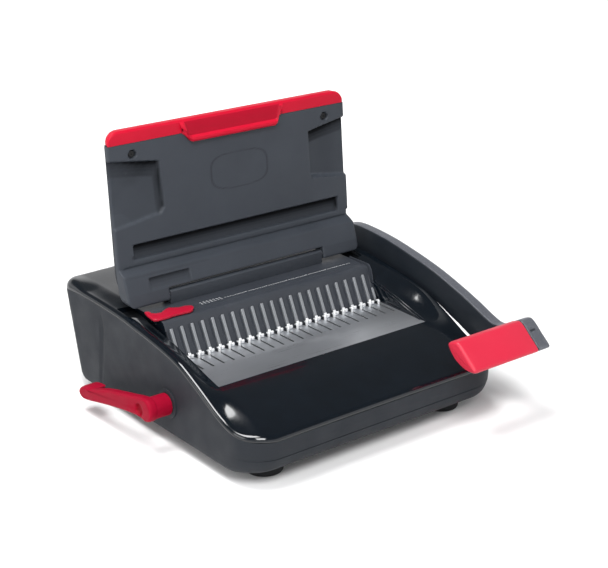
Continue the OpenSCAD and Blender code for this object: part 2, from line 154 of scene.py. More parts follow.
def round_poly(pts, r, n=4):
    """Rounds each corner of a closed 2-D outline with radius r (or a list of radii)."""
    P = np.asarray(pts, float); N = len(P); out = []
    rr = r if hasattr(r, "__len__") else [r] * N
    for i in range(N):
        a, b, c = P[i - 1], P[i], P[(i + 1) % N]
        u = (a - b) / np.linalg.norm(a - b); v = (c - b) / np.linalg.norm(c - b)
        ang = math.acos(np.clip(u @ v, -1, 1))
        if rr[i] <= 0 or ang > math.pi - 0.05:
            out.append(b); continue
        t = min(rr[i] / math.tan(ang / 2), 0.48 * np.linalg.norm(a - b), 0.48 * np.linalg.norm(c - b))
        R = t * math.tan(ang / 2)
        bis = (u + v) / np.linalg.norm(u + v); cen = b + bis * (R / math.sin(ang / 2))
        s0, s1 = b + u * t - cen, b + v * t - cen
        a0 = math.atan2(s0[1], s0[0]); a1 = math.atan2(s1[1], s1[0]); da = (a1 - a0 + math.pi) % (2 * math.pi) - math.pi
        for k in range(n + 1):
            q = a0 + da * k / n
            out.append(cen + R * np.array([math.cos(q), math.sin(q)]))
    return np.array(out)


def inset2d(P, d):
    """Moves each point of a closed outline inwards by d along its averaged normal."""
    P = np.asarray(P, float)
    area = 0.5 * np.sum(P[:, 0] * np.roll(P[:, 1], -1) - np.roll(P[:, 0], -1) * P[:, 1])
    t1 = P - np.roll(P, 1, 0); t2 = np.roll(P, -1, 0) - P
    t1 /= np.maximum(np.linalg.norm(t1, axis=1, keepdims=True), 1e-9); t2 /= np.maximum(np.linalg.norm(t2, axis=1, keepdims=True), 1e-9)
    n1 = np.stack([-t1[:, 1], t1[:, 0]], -1); n2 = np.stack([-t2[:, 1], t2[:, 0]], -1)
    nn = n1 + n2; ln = np.maximum(np.linalg.norm(nn, axis=1, keepdims=True), 1e-6); nn /= ln
    c = np.clip((nn * n1).sum(1, keepdims=True), 0.5, 1)
    return P + (1 if area > 0 else -1) * nn * d / c


def rprism(name, pts, x0, x1, r, mat, n=4, angle=35):
    """A YZ outline carried along X from x0 to x1, with its rims rounded by r."""
    rings = []
    for k in range(n + 1):
        q = k / n * math.pi / 2
        rings.append((x0 + r * (1 - math.cos(q)), inset2d(pts, r * (1 - math.sin(q)))))
    for k in range(n + 1):
        q = (1 - k / n) * math.pi / 2
        rings.append((x1 - r * (1 - math.cos(q)), inset2d(pts, r * (1 - math.sin(q)))))
    R = [np.c_[np.full(len(p), x), p] for x, p in rings]
    return loft(name, R, mat, angle=angle)


def join(name, objs):
    bpy.ops.object.select_all(action="DESELECT")
    for o in objs: o.select_set(True)
    bpy.context.view_layer.objects.active = objs[0]
    bpy.ops.object.join()
    objs[0].name = name; objs[0].data.name = name
    return objs[0]


def lathe(name, prof, centre, axis, mat, n=48, angle=35):
    """prof: (radius, height) pairs turned round axis ('x' or 'z') through centre."""
    rings = []
    for r, h in prof:
        a = np.linspace(0, 2 * math.pi, n, endpoint=False)
        if axis == "x": rings.append(np.stack([centre[0] + np.full(n, h), centre[1] + r * np.cos(a), centre[2] + r * np.sin(a)], -1))
        else: rings.append(np.stack([centre[0] + r * np.cos(a), centre[1] + r * np.sin(a), centre[2] + np.full(n, h)], -1))
    return loft(name, rings, mat, angle=angle)


# ------------------------------------------------------------------ materials
def material(name, base, rough=0.45, metal=0.0, coat=0.0, coat_rough=0.1, var=0.06, noise=900.0, bump=0.06, rvar=0.08,
             streak=None, speck=None, spec=0.5, edge_lighten=0.0, edge_lighten_col=(0.5, 0.5, 0.5), aniso=0.0):
    m = bpy.data.materials.new(name); m.use_nodes = True
    nt = m.node_tree; nt.nodes.clear()
    out = nt.nodes.new("ShaderNodeOutputMaterial"); b = nt.nodes.new("ShaderNodeBsdfPrincipled")
    nt.links.new(b.outputs[0], out.inputs[0])
    b.inputs["Metallic"].default_value = metal
    b.inputs["Coat Weight"].default_value = coat
    b.inputs["Coat Roughness"].default_value = coat_rough
    b.inputs["Specular IOR Level"].default_value = spec
    if aniso: b.inputs["Anisotropic"].default_value = aniso
    tc = nt.nodes.new("ShaderNodeTexCoord")
    def mapped(scale):
        mp = nt.nodes.new("ShaderNodeMapping"); mp.inputs["Scale"].default_value = scale
        nt.links.new(tc.outputs["Object"], mp.inputs["Vector"]); return mp.outputs[0]
    def noise_tex(scale, detail=3.0, vec=None, rough=0.5):
        t = nt.nodes.new("ShaderNodeTexNoise"); t.inputs["Scale"].default_value = scale
        t.inputs["Detail"].default_value = detail; t.inputs["Roughness"].default_value = rough
        nt.links.new(vec or tc.outputs["Object"], t.inputs["Vector"]); return t.outputs["Fac"]
    def ramp(fac, lo, hi, p0=0.3, p1=0.7):
        r = nt.nodes.new("ShaderNodeMapRange"); r.inputs["From Min"].default_value = p0; r.inputs["From Max"].default_value = p1
        r.inputs["To Min"].default_value = lo; r.inputs["To Max"].default_value = hi; r.clamp = True
        nt.links.new(fac, r.inputs["Value"]); return r.outputs[0]
    # colour: broad uneven tone and fine grain
    big = noise_tex(14.0, 4.0)
    fine = noise_tex(noise, 2.0) if not streak else noise_tex(1.0, 5.0, mapped(streak), 0.65)
    mix = nt.nodes.new("ShaderNodeMix"); mix.data_type = "RGBA"
    lo = [c * (1 - var) for c in base] + [1]; hi = [min(1, c * (1 + var)) for c in base] + [1]
    mix.inputs["A"].default_value = lo; mix.inputs["B"].default_value = hi
    add = nt.nodes.new("ShaderNodeMath"); add.operation = "MULTIPLY_ADD"; add.inputs[1].default_value = 0.55
    nt.links.new(ramp(big, 0, 1), add.inputs[0])
    half = nt.nodes.new("ShaderNodeMath"); half.operation = "MULTIPLY"; half.inputs[1].default_value = 0.45
    nt.links.new(ramp(fine, 0, 1), half.inputs[0]); nt.links.new(half.outputs[0], add.inputs[2])
    nt.links.new(add.outputs[0], mix.inputs["Factor"])
    col = mix.outputs["Result"]
    if speck:
        v = nt.nodes.new("ShaderNodeTexVoronoi"); v.inputs["Scale"].default_value = speck[0]
        nt.links.new(tc.outputs["Object"], v.inputs["Vector"])
        sep = nt.nodes.new("ShaderNodeSeparateColor"); nt.links.new(v.outputs["Color"], sep.inputs[0])
        m2 = nt.nodes.new("ShaderNodeMix"); m2.data_type = "RGBA"
        nt.links.new(ramp(sep.outputs[0], 0, speck[2], 0.55, 1.0), m2.inputs["Factor"])
        nt.links.new(col, m2.inputs["A"]); m2.inputs["B"].default_value = list(speck[1]) + [1]
        col = m2.outputs["Result"]
    # convex edges (high Pointiness) are lightened towards a lighter colour, broken up by noise
    if edge_lighten:
        geo = nt.nodes.new("ShaderNodeNewGeometry")
        w = ramp(geo.outputs["Pointiness"], 0, edge_lighten, 0.52, 0.62)
        wm = nt.nodes.new("ShaderNodeMath"); wm.operation = "MULTIPLY"
        nt.links.new(w, wm.inputs[0]); nt.links.new(ramp(noise_tex(160.0, 4.0), 0, 1, 0.35, 0.65), wm.inputs[1])
        m3 = nt.nodes.new("ShaderNodeMix"); m3.data_type = "RGBA"
        nt.links.new(wm.outputs[0], m3.inputs["Factor"]); nt.links.new(col, m3.inputs["A"])
        m3.inputs["B"].default_value = list(edge_lighten_col) + [1]; col = m3.outputs["Result"]
    nt.links.new(col, b.inputs["Base Color"])
    nt.links.new(ramp(noise_tex(38.0, 5.0) if not streak else fine, max(0.02, rough - rvar), rough + rvar), b.inputs["Roughness"])
    if bump:
        bp = nt.nodes.new("ShaderNodeBump"); bp.inputs["Strength"].default_value = bump; bp.inputs["Distance"].default_value = 0.0004
        nt.links.new(fine, bp.inputs["Height"]); nt.links.new(bp.outputs[0], b.inputs["Normal"])
    return m


M_GREY = material("housing_grey", (0.0165, 0.0192, 0.0240), rough=0.58, noise=1500, bump=0.25, var=0.14, spec=0.17, edge_lighten=0.3, edge_lighten_col=(0.055, 0.060, 0.068))
M_LINER = material("liner_grey", (0.0310, 0.0360, 0.0450), rough=0.52, noise=1500, bump=0.25, var=0.12, spec=0.32, edge_lighten=0.3, edge_lighten_col=(0.070, 0.076, 0.086))
M_REST = material("rest_grey", (0.0290, 0.0330, 0.0410), rough=0.42, noise=1300, bump=0.2, var=0.12, spec=0.38, edge_lighten=0.35, edge_lighten_col=(0.085, 0.092, 0.104))
M_BLACK = material("gloss_black", (0.0025, 0.0045, 0.0072), rough=0.13, coat=0.35, coat_rough=0.03, noise=60, bump=0.01, var=0.2, rvar=0.04, spec=0.45)
M_PLATE = material("brushed_plate", (0.50, 0.52, 0.55), rough=0.34, metal=0.85, streak=(9.0, 900.0, 900.0), bump=0.12, var=0.12, rvar=0.08, aniso=0.4)
M_BAR = material("bar_satin", (0.225, 0.235, 0.25), rough=0.42, metal=0.35, noise=1800, bump=0.15, var=0.10)
M_HOOK = material("bright_hook", (0.86, 0.87, 0.88), rough=0.32, metal=0.45, noise=700, bump=0.05, var=0.06)
M_RED = material("red_plastic", (0.36, 0.0040, 0.0230), rough=0.34, coat=0.06, coat_rough=0.15, noise=1200, bump=0.08, var=0.08, spec=0.32, edge_lighten=0.4, edge_lighten_col=(0.62, 0.030, 0.075))
M_STRIP = material("strip_red", (0.42, 0.0040, 0.0210), rough=0.44, noise=1200, bump=0.08, var=0.08, spec=0.14, edge_lighten=0.3, edge_lighten_col=(0.55, 0.020, 0.050))
# darker copy of the strip red for the grip's scoop and the comb lever's dimple: painted shade in those recesses
M_SCOOP_PAINTED_SHADE = material("scoop_red_painted_shade", (0.27, 0.0028, 0.0145), rough=0.48, noise=1200, bump=0.08, var=0.08, spec=0.10)
M_LEVRED = material("lever_red", (0.250, 0.0026, 0.0175), rough=0.50, noise=1200, bump=0.08, var=0.08, spec=0.04, edge_lighten=0.3, edge_lighten_col=(0.55, 0.026, 0.065))
M_GRIP = material("red_grip", (0.50, 0.0170, 0.0430), rough=0.45, noise=1500, bump=0.16, var=0.07, spec=0.34)
M_LEVER = material("lever_grey", (0.090, 0.096, 0.112), rough=0.38, metal=0.3, noise=1400, bump=0.12, var=0.10, speck=(1900.0, (0.24, 0.25, 0.28), 0.5))
# darker copy of the lever grey for the arm's outward side: painted shade
M_ARMSIDE_PAINTED_SHADE = material("lever_side_painted_shade", (0.0100, 0.0130, 0.0175), rough=0.42, noise=1400, bump=0.15, var=0.12, spec=0.32)
M_STEEL = material("machined_steel", (0.46, 0.47, 0.49), rough=0.32, metal=1.0, streak=(900.0, 900.0, 12.0), bump=0.08, var=0.10)
M_DARK = material("oiled_steel", (0.12, 0.125, 0.13), rough=0.38, metal=0.9, noise=500, bump=0.1, var=0.2)
M_BRONZE = material("sintered_bronze", (0.42, 0.26, 0.10), rough=0.42, metal=1.0, noise=2200, bump=0.2, var=0.15)
M_RUBBER = material("rubber", (0.0085, 0.0090, 0.0100), rough=0.78, noise=1100, bump=0.35, var=0.18, spec=0.3)
M_SCREW = material("black_oxide", (0.0085, 0.0090, 0.0100), rough=0.36, metal=0.5, noise=900, bump=0.1, var=0.25)
M_TRAY = material("tray_plastic", (0.0170, 0.0190, 0.0235), rough=0.56, noise=1300, bump=0.25, var=0.14, spec=0.32)
M_INK = material("pale_ink", (0.55, 0.56, 0.57), rough=0.5, noise=2000, bump=0.05, var=0.08)

# the panel's colour and specular are scaled by the point value 'shade': painted shade in the recesses and a painted
# highlight on their ledges
M_PANEL_PAINTED_SHADE = material("panel_grey_painted_shade", (0.0310, 0.0360, 0.0450), rough=0.52, noise=1500, bump=0.25, var=0.12, spec=0.26)
pn = M_PANEL_PAINTED_SHADE.node_tree; pb = next(n for n in pn.nodes if n.type == "BSDF_PRINCIPLED"); src = pb.inputs["Base Color"].links[0].from_socket
pat = pn.nodes.new("ShaderNodeAttribute"); pat.attribute_name = "shade"
pmx = pn.nodes.new("ShaderNodeVectorMath"); pmx.operation = "SCALE"
pn.links.new(src, pmx.inputs[0]); pn.links.new(pat.outputs["Fac"], pmx.inputs["Scale"]); pn.links.new(pmx.outputs[0], pb.inputs["Base Color"])
psp = pn.nodes.new("ShaderNodeMath"); psp.operation = "MULTIPLY"; psp.inputs[1].default_value = 0.26; psp.use_clamp = True
pn.links.new(pat.outputs["Fac"], psp.inputs[0]); pn.links.new(psp.outputs[0], pb.inputs["Specular IOR Level"])

BY_SLOT = {"housing_grey": M_GREY, "gloss_black": M_BLACK, "deck_metal": M_PLATE, "bar_metal": M_BAR, "hook_metal": M_HOOK, "liner_grey": M_REST,
           "print_light": M_INK, "red_plastic": M_RED, "red_grip": M_GRIP, "lever_grey": M_LEVER, "steel": M_STEEL, "dark_steel": M_DARK,
           "bronze": M_BRONZE, "rubber": M_RUBBER, "screw_black": M_SCREW, "tray_grey": M_TRAY}
for sp in frame["record"]["subparts"]:
    ob = NODES[sp["node"]]
    ob.data.materials.clear(); ob.data.materials.append(BY_SLOT[sp["material_slot"]])


def put(ob, body, slot, *replaced):
    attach(ob, body)
    if replaced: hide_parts(*replaced)
    return ob


# ------------------------------------------------------------------ housing surfaces
SY = [-184, -172, -160, -146, -133, -119, -106, -90, -74, -60, -46, -25, -4, 18, 40, 62, 86, 110, 157, 190, 209, 211]
SZ = [58, 58.8, 60.5, 62.8, 66, 71.4, 78, 86.2, 94, 100.4, 106, 111.2, 115, 118.3, 121, 124, 125.8, 127, 128, 126.4, 124, 122.6]
seam = lambda y: pchip(SY, SZ, y)
rad = lambda y: 5 + 6.5 * sstep(150, 198, y)
crown = lambda y: seam(y) + rad(y)
IY = [-184, -179, -165, -133, -100, -86, -60, -37, -18, 8, 40, 62, 80, 100, 157, 200, 211]
IZ = [63, 64.4, 68.9, 78.2, 86.6, 89.4, 95.8, 102.4, 107.3, 112.8, 119, 123.2, 126.4, 133.4, 135.2, 136, 134]
inner = lambda y: pchip(IY, IZ, y)


def sdf_plan(x, y, o=0.0):
    """Distance inside the housing's rounded plan (positive inside)."""
    r = np.where(y < 0, 40.0, 24.0) - o
    cx_, hx = 0.0, 185.0 - o
    y0, y1 = -184.0 + o, 211.0 - o
    cyy, hy = (y0 + y1) / 2, (y1 - y0) / 2
    qx = np.abs(x - cx_) - hx + r; qy = np.abs(y - cyy) - hy + r
    d = np.hypot(np.maximum(qx, 0), np.maximum(qy, 0)) + np.minimum(np.maximum(qx, qy), 0) - r
    return -d


def half_w(y):
    f = np.where(y < -144, 185 - 40 + np.sqrt(np.maximum(0, 1600 - (np.minimum(y, -144) + 144) ** 2)), 185.0)
    return np.where(y > 187, 185 - 24 + np.sqrt(np.maximum(0, 576 - (np.maximum(y, 187) - 187) ** 2)), f)


def shell_z(x, y, relief=True):
    t = np.clip((np.abs(x - DX * 0) - np.where(x < 0, 157, 149)) / np.where(x < 0, 23.0, 31.0), 0, 1)
    t = t * t * (3 - 2 * t)
    H = inner(y) * (1 - t) + crown(y) * t
    # the deck panel is slightly crowned across its width
    H = H + 0.9 * (1 - (np.clip(np.abs(x), 0, 157) / 157) ** 2) * sstep(-92, -130, y) + 1.2 * (1 - (np.clip(np.abs(x), 0, 157) / 157) ** 2) * sstep(95, 140, y)
    r = rad(y) + 0.0
    d = np.clip(sdf_plan(x, y), 0, None)
    k = np.clip(r - d, 0, r)
    H = H - r + np.sqrt(np.maximum(r * r - k * k, 0))
    # soft edge round the well
    ex = np.maximum(np.where(x < 0, -157 - x, x - 149), 0); ey = np.maximum(-86 - y, 0)
    inside_y = (y > -86) & (y < 88.2); inside_x = (x > -157) & (x < 149)
    dist = np.where(inside_y, ex, np.where(inside_x, np.where(y < 0, ey, 99), np.where(y < 0, np.hypot(ex, ey), 99)))
    q = np.clip(2.2 - dist, 0, 2.2)
    H = H - 2.2 + np.sqrt(np.maximum(2.2 ** 2 - q * q, 0)) * 1.0
    if relief:
        H = np.where((y > 60.1) & (y < 88.2) & (x > DX - 174.9) & (x < DX + 174.9), np.minimum(H, 124.4), H)
    return H


edge = [0, 0.12, 0.4, 0.8, 1.4, 2.2, 3.2, 4.4, 5.6, 7.5]
lip = [0, 0.12, 0.4, 0.85, 1.4, 2.2, 3.2]
xs = [-185 + e for e in edge] + [-179.3, -179.0, -178.7, -176, -172, -168, -164] + [-157 - e for e in lip[::-1]] \
    + list(np.arange(-150, 146, 10.0)) + [149 + e for e in lip] + [155, 160, 165, 170.7, 171.0, 171.3, 174, 176.5] + [185 - e for e in edge[::-1]]
xs = np.array(sorted(set(round(v, 3) for v in xs)))
ys = [-184 + e for e in edge] + list(np.arange(-174, -91, 3.0)) + [-86 - e for e in lip[::-1]] + list(np.arange(-83, 58, 3.0)) + [59.8, 60.0, 60.3, 65, 70, 75, 80, 84, 87.8, 88.0, 88.3] \
    + list(np.arange(91, 186, 4.0)) + [211 - e for e in [24, 21, 18, 15.5, 13.2, 11.2, 9.4, 7.8, 6.4, 5.1, 4, 3, 2.2, 1.5, 0.9, 0.45, 0.15, 0]]
ys = np.array(sorted(set(round(v, 3) for v in ys)))
S = xs / 185.0
X = half_w(ys)[None, :] * S[:, None]; Y = np.repeat(ys[None, :], len(xs), 0)
# rows inside the straight stretch keep true column positions
Zt = shell_z(X, Y)
top = np.stack([X, Y, Zt], -1)
# underside: 2.6 mm below, pulled in from the rim
Xi = X * (1 - 2.2 / 185); Yi = Y + np.where(Y < -150, 1, 0) * 2.2 * sstep(-150, -184, Y) - 2.2 * sstep(180, 211, Y)
Zb = np.minimum(Zt - 2.4, shell_z(X, Y, False) - 2.4)
Zb = np.where(np.abs(sdf_plan(X, Y)) < 0.01, seam(Y) + 0.15, np.maximum(Zb, seam(Y) + 0.0 - 60))
bot = np.stack([Xi, Yi, np.minimum(Zb, Zt - 0.3)], -1)
mask = np.ones((len(xs) - 1, len(ys) - 1), bool)
xc = (xs[:-1] + xs[1:]) / 2; yc = (ys[:-1] + ys[1:]) / 2
mask[np.ix_((xc > -157) & (xc < 149), (yc > -86) & (yc < 88))] = False
# the wall of the well: the border column drops to the deck
for i, xv in enumerate(xs):
    for j, yv in enumerate(ys):
        on_l = abs(xv + 157) < 1e-6 or abs(xv - 149) < 1e-6
        if (on_l and -86 - 1e-6 <= yv <= 88 + 1e-6) or (-157 < xv < 149 and (abs(yv + 86) < 1e-6 or abs(yv - 88) < 1e-6)):
            bot[i, j] = (xv, yv, 84.2 if yv < 88 - 1e-6 else 118)
shell = grid_solid("gloss_shell", top, bot, mask, M_BLACK, angle=40)
# the flat ledges beside the well and the well's walls take a dark matte material instead of the gloss black: painted
# shade
M_LEDGE_PAINTED_SHADE = material("ledge_painted_shade", (0.0040, 0.0050, 0.0065), rough=0.75, noise=900, bump=0.1, var=0.15, spec=0.08)
shell.data.materials.append(M_LEDGE_PAINTED_SHADE)
for pl in shell.data.polygons:
    c = pl.center * 1000
    if 57 < c.y - OY < 88.6 and c.z < 124.9 and (c.x - OX < -156.5 or c.x - OX > 148.5) and abs(c.x - OX) < 175.2: pl.material_index = 1
put(shell, "housing", "gloss_black", "top_shell")

# ------------------------------------------------------------------ lower housing
def contour(o_side, o_front, o_rear, n_side=132, n_front=96, n_arc=14, x_marks=(-152.0, 152.0)):
    x = 185 - o_side; f = -184 + o_front; b = 211 - o_rear
    rf = max(6, 40 - max(o_side, 0)); rb = max(6, 24 - max(o_side, 0))
    pts = []
    for t in np.linspace(0, 1, n_front, endpoint=False): pts.append((-(x - rf) + 2 * (x - rf) * t, f))
    for t in np.linspace(-90, 0, n_arc, endpoint=False): pts.append((x - rf + rf * math.cos(math.radians(t)), f + rf + rf * math.sin(math.radians(t))))
    for t in np.linspace(0, 1, n_side, endpoint=False): pts.append((x, f + rf + (b - rb - f - rf) * t))
    for t in np.linspace(0, 90, n_arc, endpoint=False): pts.append((x - rb + rb * math.cos(math.radians(t)), b - rb + rb * math.sin(math.radians(t))))
    rear = [x - rb, 152.0] + list(np.linspace(140, -140, 57)) + [-152.0]
    for v in rear: pts.append((v, b))
    for t in np.linspace(90, 180, n_arc, endpoint=False): pts.append((-(x - rb) + rb * math.cos(math.radians(t)), b - rb + rb * math.sin(math.radians(t))))
    for t in np.linspace(1, 0, n_side, endpoint=False): pts.append((-x, f + rf + (b - rb - f - rf) * t))
    for t in np.linspace(180, 270, n_arc, endpoint=False): pts.append((-(x - rf) + rf * math.cos(math.radians(t)), f + rf + rf * math.sin(math.radians(t))))
    return np.array(pts)


Zoff_z = [15, 15.4, 16.2, 17.6, 20, 24, 30, 130]
side_off = lambda z: np.interp(z, Zoff_z, [6.0, 4.2, 2.6, 1.3, 0.6, 0.3, 0.2, 0])
front_off = lambda z: np.interp(z, [15, 15.4, 16.6, 19, 23, 29, 35.2, 36.2, 37.2, 46, 58], [22, 19.5, 16, 11.8, 7.6, 4.0, 2.0, 2.6, 1.0, 0.3, 0])
rear_off = lambda z: np.interp(z, [15, 15.4, 16.6, 19, 24, 43, 122, 130], [38, 35.5, 32, 28.4, 25.4, 20.4, 0.4, 0])
zl = [15, 15.4, 16.2, 17.6, 18.0, 20, 22, 24, 27, 30, 32.5, 34.6, 35.2, 36.2, 37.2, 38, 40, 43.0]
fr = [0.06, 0.15, 0.27, 0.4, 0.53, 0.66, 0.78, 0.88, 0.95, 0.985, 1.0]
levels = [("z", z) for z in zl] + [("f", f) for f in fr]
outer_r, inner_r = [], []
ref = contour(0, 0, 0)


def side_detail(x, y, z):
    """Inward relief on the side walls: a soft upright groove and a long shallow crease."""
    d = np.zeros_like(y)
    on = np.abs(np.abs(x) - 185) < 3
    g = np.abs(y - (118 - 0.10 * (z - 60)))
    d = d + 1.5 * np.clip(1 - g / 3.4, 0, 1) ** 0.7 * sstep(20, 28, z) * sstep(118, 110, z)
    # the field in front of the groove is set in a little and fades out towards the front
    d = d + 0.9 * sstep(120, 114, y - 0 * z) * sstep(-60, 60, y) * sstep(22, 30, z) * sstep(0, 9, (seam(y) - 16) - z - 0.0 * y)
    return np.where(on, d, 0)


for kind, v in levels:
    if kind == "z": zz = np.full(len(ref), float(v))
    else: zz = 43.0 + v * (seam(ref[:, 1]) - 0.15 - 43.0)
    # contour per point with its own offsets
    so, fo, ro = side_off(zz), front_off(zz), rear_off(zz)
    P = []
    cache = {}
    for k in range(len(ref)):
        key = (round(float(so[k]), 3), round(float(fo[k]), 3), round(float(ro[k]), 3))
        if key not in cache: cache[key] = contour(*key)
        P.append(cache[key][k])
    P = np.array(P)
    dd = side_detail(P[:, 0], P[:, 1], zz)
    nx = np.sign(P[:, 0])
    Po = P.copy(); Po[:, 0] -= nx * dd
    # inner wall
    Q = []
    cache = {}
    for k in range(len(ref)):
        key = (round(float(so[k]) + 3, 3), round(float(fo[k]) + 3, 3), round(float(ro[k]) + 3, 3))
        if key not in cache: cache[key] = contour(*key)
        Q.append(cache[key][k])
    Q = np.array(Q)
    outer_r.append(np.c_[Po, zz]); inner_r.append(np.c_[Q, np.maximum(zz, 18.0) if kind == "z" else zz])
outer_r = np.array(outer_r).transpose(1, 0, 2); inner_r = np.array(inner_r).transpose(1, 0, 2)
bm_mask = np.ones((len(ref), len(levels) - 1), bool)
for i in range(len(ref)):
    a, b = ref[i], ref[(i + 1) % len(ref)]
    mx_, my_ = (a + b) / 2
    if my_ > 205 and abs(mx_) < 152:
        for j in range(len(levels) - 1):
            z0 = levels[j][1] if levels[j][0] == "z" else 99; z1 = levels[j + 1][1] if levels[j + 1][0] == "z" else 99
            if z0 >= 18.0 and z1 <= 43.0: bm_mask[i, j] = False
tub = grid_solid("grey_tub", outer_r, inner_r, bm_mask, M_GREY, wrap=True, angle=40)
# floor plate closing the bottom ring, 3 mm thick
fl = contour(6.0, 22, 38)
floor_piece = loft("tub_floor", [np.c_[fl, np.full(len(fl), 15.0)], np.c_[contour(3.0, 19, 35), np.full(len(fl), 18.0)]], M_GREY)
tub = join("grey_tub", [tub, floor_piece])
put(tub, "housing", "housing_grey", "base_tub")

# ------------------------------------------------------------------ cover
CT = 338.0
CX = DX


def seg_in(x, z, pts):
    """Signed distance inside a convex outline (x, z), positive inside."""
    P = np.asarray(pts, float); d = np.full(np.shape(x), 1e9)
    area = 0.5 * np.sum(P[:, 0] * np.roll(P[:, 1], -1) - np.roll(P[:, 0], -1) * P[:, 1])
    for i in range(len(P)):
        a, b = P[i], P[(i + 1) % len(P)]
        t = (b - a) / np.linalg.norm(b - a)
        dist = (t[0] * (z - a[1]) - t[1] * (x - a[0])) * (1 if area > 0 else -1)
        d = np.minimum(d, dist)
    return d


def pocket(x, z, pts, depth, soft=2.5):
    d = seg_in(x, z, pts)
    return depth * sstep(0, soft, d)


def face_y(z):
    """Front face of the cover: the leaning panel, and the steeper band under it."""
    z = np.asarray(z, float)
    up = cy(z)
    lo = 66 + (z - 150) * 8.0 / 22.0
    lo = np.where(z < 150, 62.6 + (z - 136.5) * 3.4 / 13.5, lo)
    k = sstep(172, 178, z)
    return lo * (1 - k) + up * k


def relief(x, z):
    d = np.zeros(np.shape(x))
    # cross trough: deep at its top edge, floor rising towards the lower edge
    t = seg_in(x, z, [(-155, 185), (151, 185), (151, 204), (-153, 204)])
    floor = 2.6 + 5.0 * np.clip((z - 185) / 19, 0, 1)
    d = np.maximum(d, floor * sstep(0, 1.8, t))
    # step line under the trough
    ln = np.abs(z - 178.2)
    d = d + 0.9 * np.clip(1 - ln / 1.6, 0, 1) * ((x > CX - 166) & (x < CX + 166))
    # shallow tray in the lower left
    t = seg_in(x, z, [(-144, 150.5), (-87, 150.5), (-86.5, 165.5), (-143.5, 165.5)])
    d = np.maximum(d, (0.5 + 1.7 * np.clip((z - 151) / 14, 0, 1)) * sstep(0, 1.5, t))
    # fine crease on the lower band
    d = d + 0.35 * np.clip(1 - np.abs(z - 169.5) / 1.2, 0, 1) * sstep(-170, -166, x) * sstep(-55, -62, x)
    # left pocket: steep upper and right walls, floor running out to the left and below
    L = [(-200, 309.5), (-174, 306), (-109, 296.5), (-106, 241), (-112, 233), (-172, 225), (-200, 222)]
    t = seg_in(x, z, L)
    dl = (4.4 + 3.4 * sstep(-168, -128, x)) * sstep(0, 2.6, t)
    bot = seg_in(x, z, [(-200, 320), (-90, 320), (-106, 241), (-112, 233), (-172, 225), (-200, 222)])
    dl = dl * np.clip(0.45 + 0.55 * sstep(0, 60, bot), 0, 1)
    d = np.maximum(d, dl)
    # right pocket, open at the side
    Rr = [(109.5, 294.5), (160, 303.5), (200, 310), (200, 229), (165, 228.5), (112, 235), (109.8, 239)]
    t = seg_in(x, z, Rr)
    d = np.maximum(d, (4.6 + 2.6 * sstep(160, 128, x)) * sstep(0, 2.6, t))
    # side notch at the foot of the right edge
    t = seg_in(x, z, [(163.5, 170), (200, 170), (200, 186), (163.5, 186)])
    d = np.maximum(d, 3.2 * sstep(0, 2.5, t))
    # plain raised outline in the middle of the panel
    ox_, oz_ = (x - 3) / 42.0, (z - 267) / 21.5
    rr = (np.abs(ox_) ** 3.4 + np.abs(oz_) ** 3.4) ** (1 / 3.4)
    d = d - 0.8 * np.clip(1 - np.abs(rr - 1) / 0.075, 0, 1) ** 0.6
    # screw counterbores
    for sx in (-144, 136):
        q = np.hypot(x - sx, z - 309)
        d = np.maximum(d, 4.6 * sstep(4.9, 4.2, q))
    return d


def edge_round(d, r):
    q = np.clip(r - d, 0, r)
    return r - np.sqrt(np.maximum(r * r - q * q, 0))


fx = sorted(set([round(v, 2) for v in list(np.arange(-176, 168.1, 2.0)) + [-176 + e for e in (0.1, 0.35, 0.8, 1.4)] + [168 - e for e in (0.1, 0.35, 0.8, 1.4)]
                 + [-119.2, -118.8, 111.2, 110.8, -119.0, 111.0]]))
fz = sorted(set([round(v, 2) for v in list(np.arange(136, 321.9, 1.5)) + [135.5, 135.6, 135.9, 136.4, 150.0, 150.2, 150.7, 321.95]]))
fx = np.array(fx); fz = np.array(fz)
GX, GZ = np.meshgrid(fx, fz, indexing="ij")
# rounded outer corners of the two lobes, and rounded side edges
Rl = 11.0
lobe = np.minimum(GX + 176, 168 - GX)
zmin = np.where(lobe < Rl, 135.5 + Rl - np.sqrt(np.maximum(Rl * Rl - (Rl - np.clip(lobe, 0, Rl)) ** 2, 0)), 135.5)
GZf = np.maximum(GZ, zmin)
dside = np.minimum(lobe, 900)
dbot = GZf - 135.5
inner_n = np.where((GX > -119) & (GX < 111), GZf - 150, 99)
dn = np.where((GX > -119) & (GX < 111), inner_n, np.where(GZf < 150, np.minimum(np.abs(GX + 119), np.abs(GX - 111)), np.hypot(np.minimum(np.abs(GX + 119), np.abs(GX - 111)), GZf - 150)))
dn = np.where(GZf < 150, dn, dn)
Yf = face_y(GZf) + relief(GX, GZf) + 2.2 * 0 + edge_round(dside, 2.4) + edge_round(dbot, 2.4) + edge_round(np.clip(dn, 0, 9), 1.6)
Yf = np.minimum(Yf, face_y(GZf) + 8.4)
Yb = np.where(GZf >= 176, cy(GZf) + 6.2, np.where(GZf >= 150, 85 + (GZf - 150) * (cy(176) + 6.2 - 85) / 26, 75.5 + (GZf - 135.5) * 9.5 / 14.5))
Yb = np.maximum(Yb, Yf + 0.9)
front = np.stack([GX, Yf, GZf], -1); back = np.stack([GX, Yb, GZf], -1)
cm = np.ones((len(fx) - 1, len(fz) - 1), bool)
xm = (fx[:-1] + fx[1:]) / 2; zm = (fz[:-1] + fz[1:]) / 2
cm[np.ix_((xm > -119) & (xm < 111), zm < 150)] = False
liner = grid_solid("cover_panel", front, back, cm, M_PANEL_PAINTED_SHADE, angle=38)
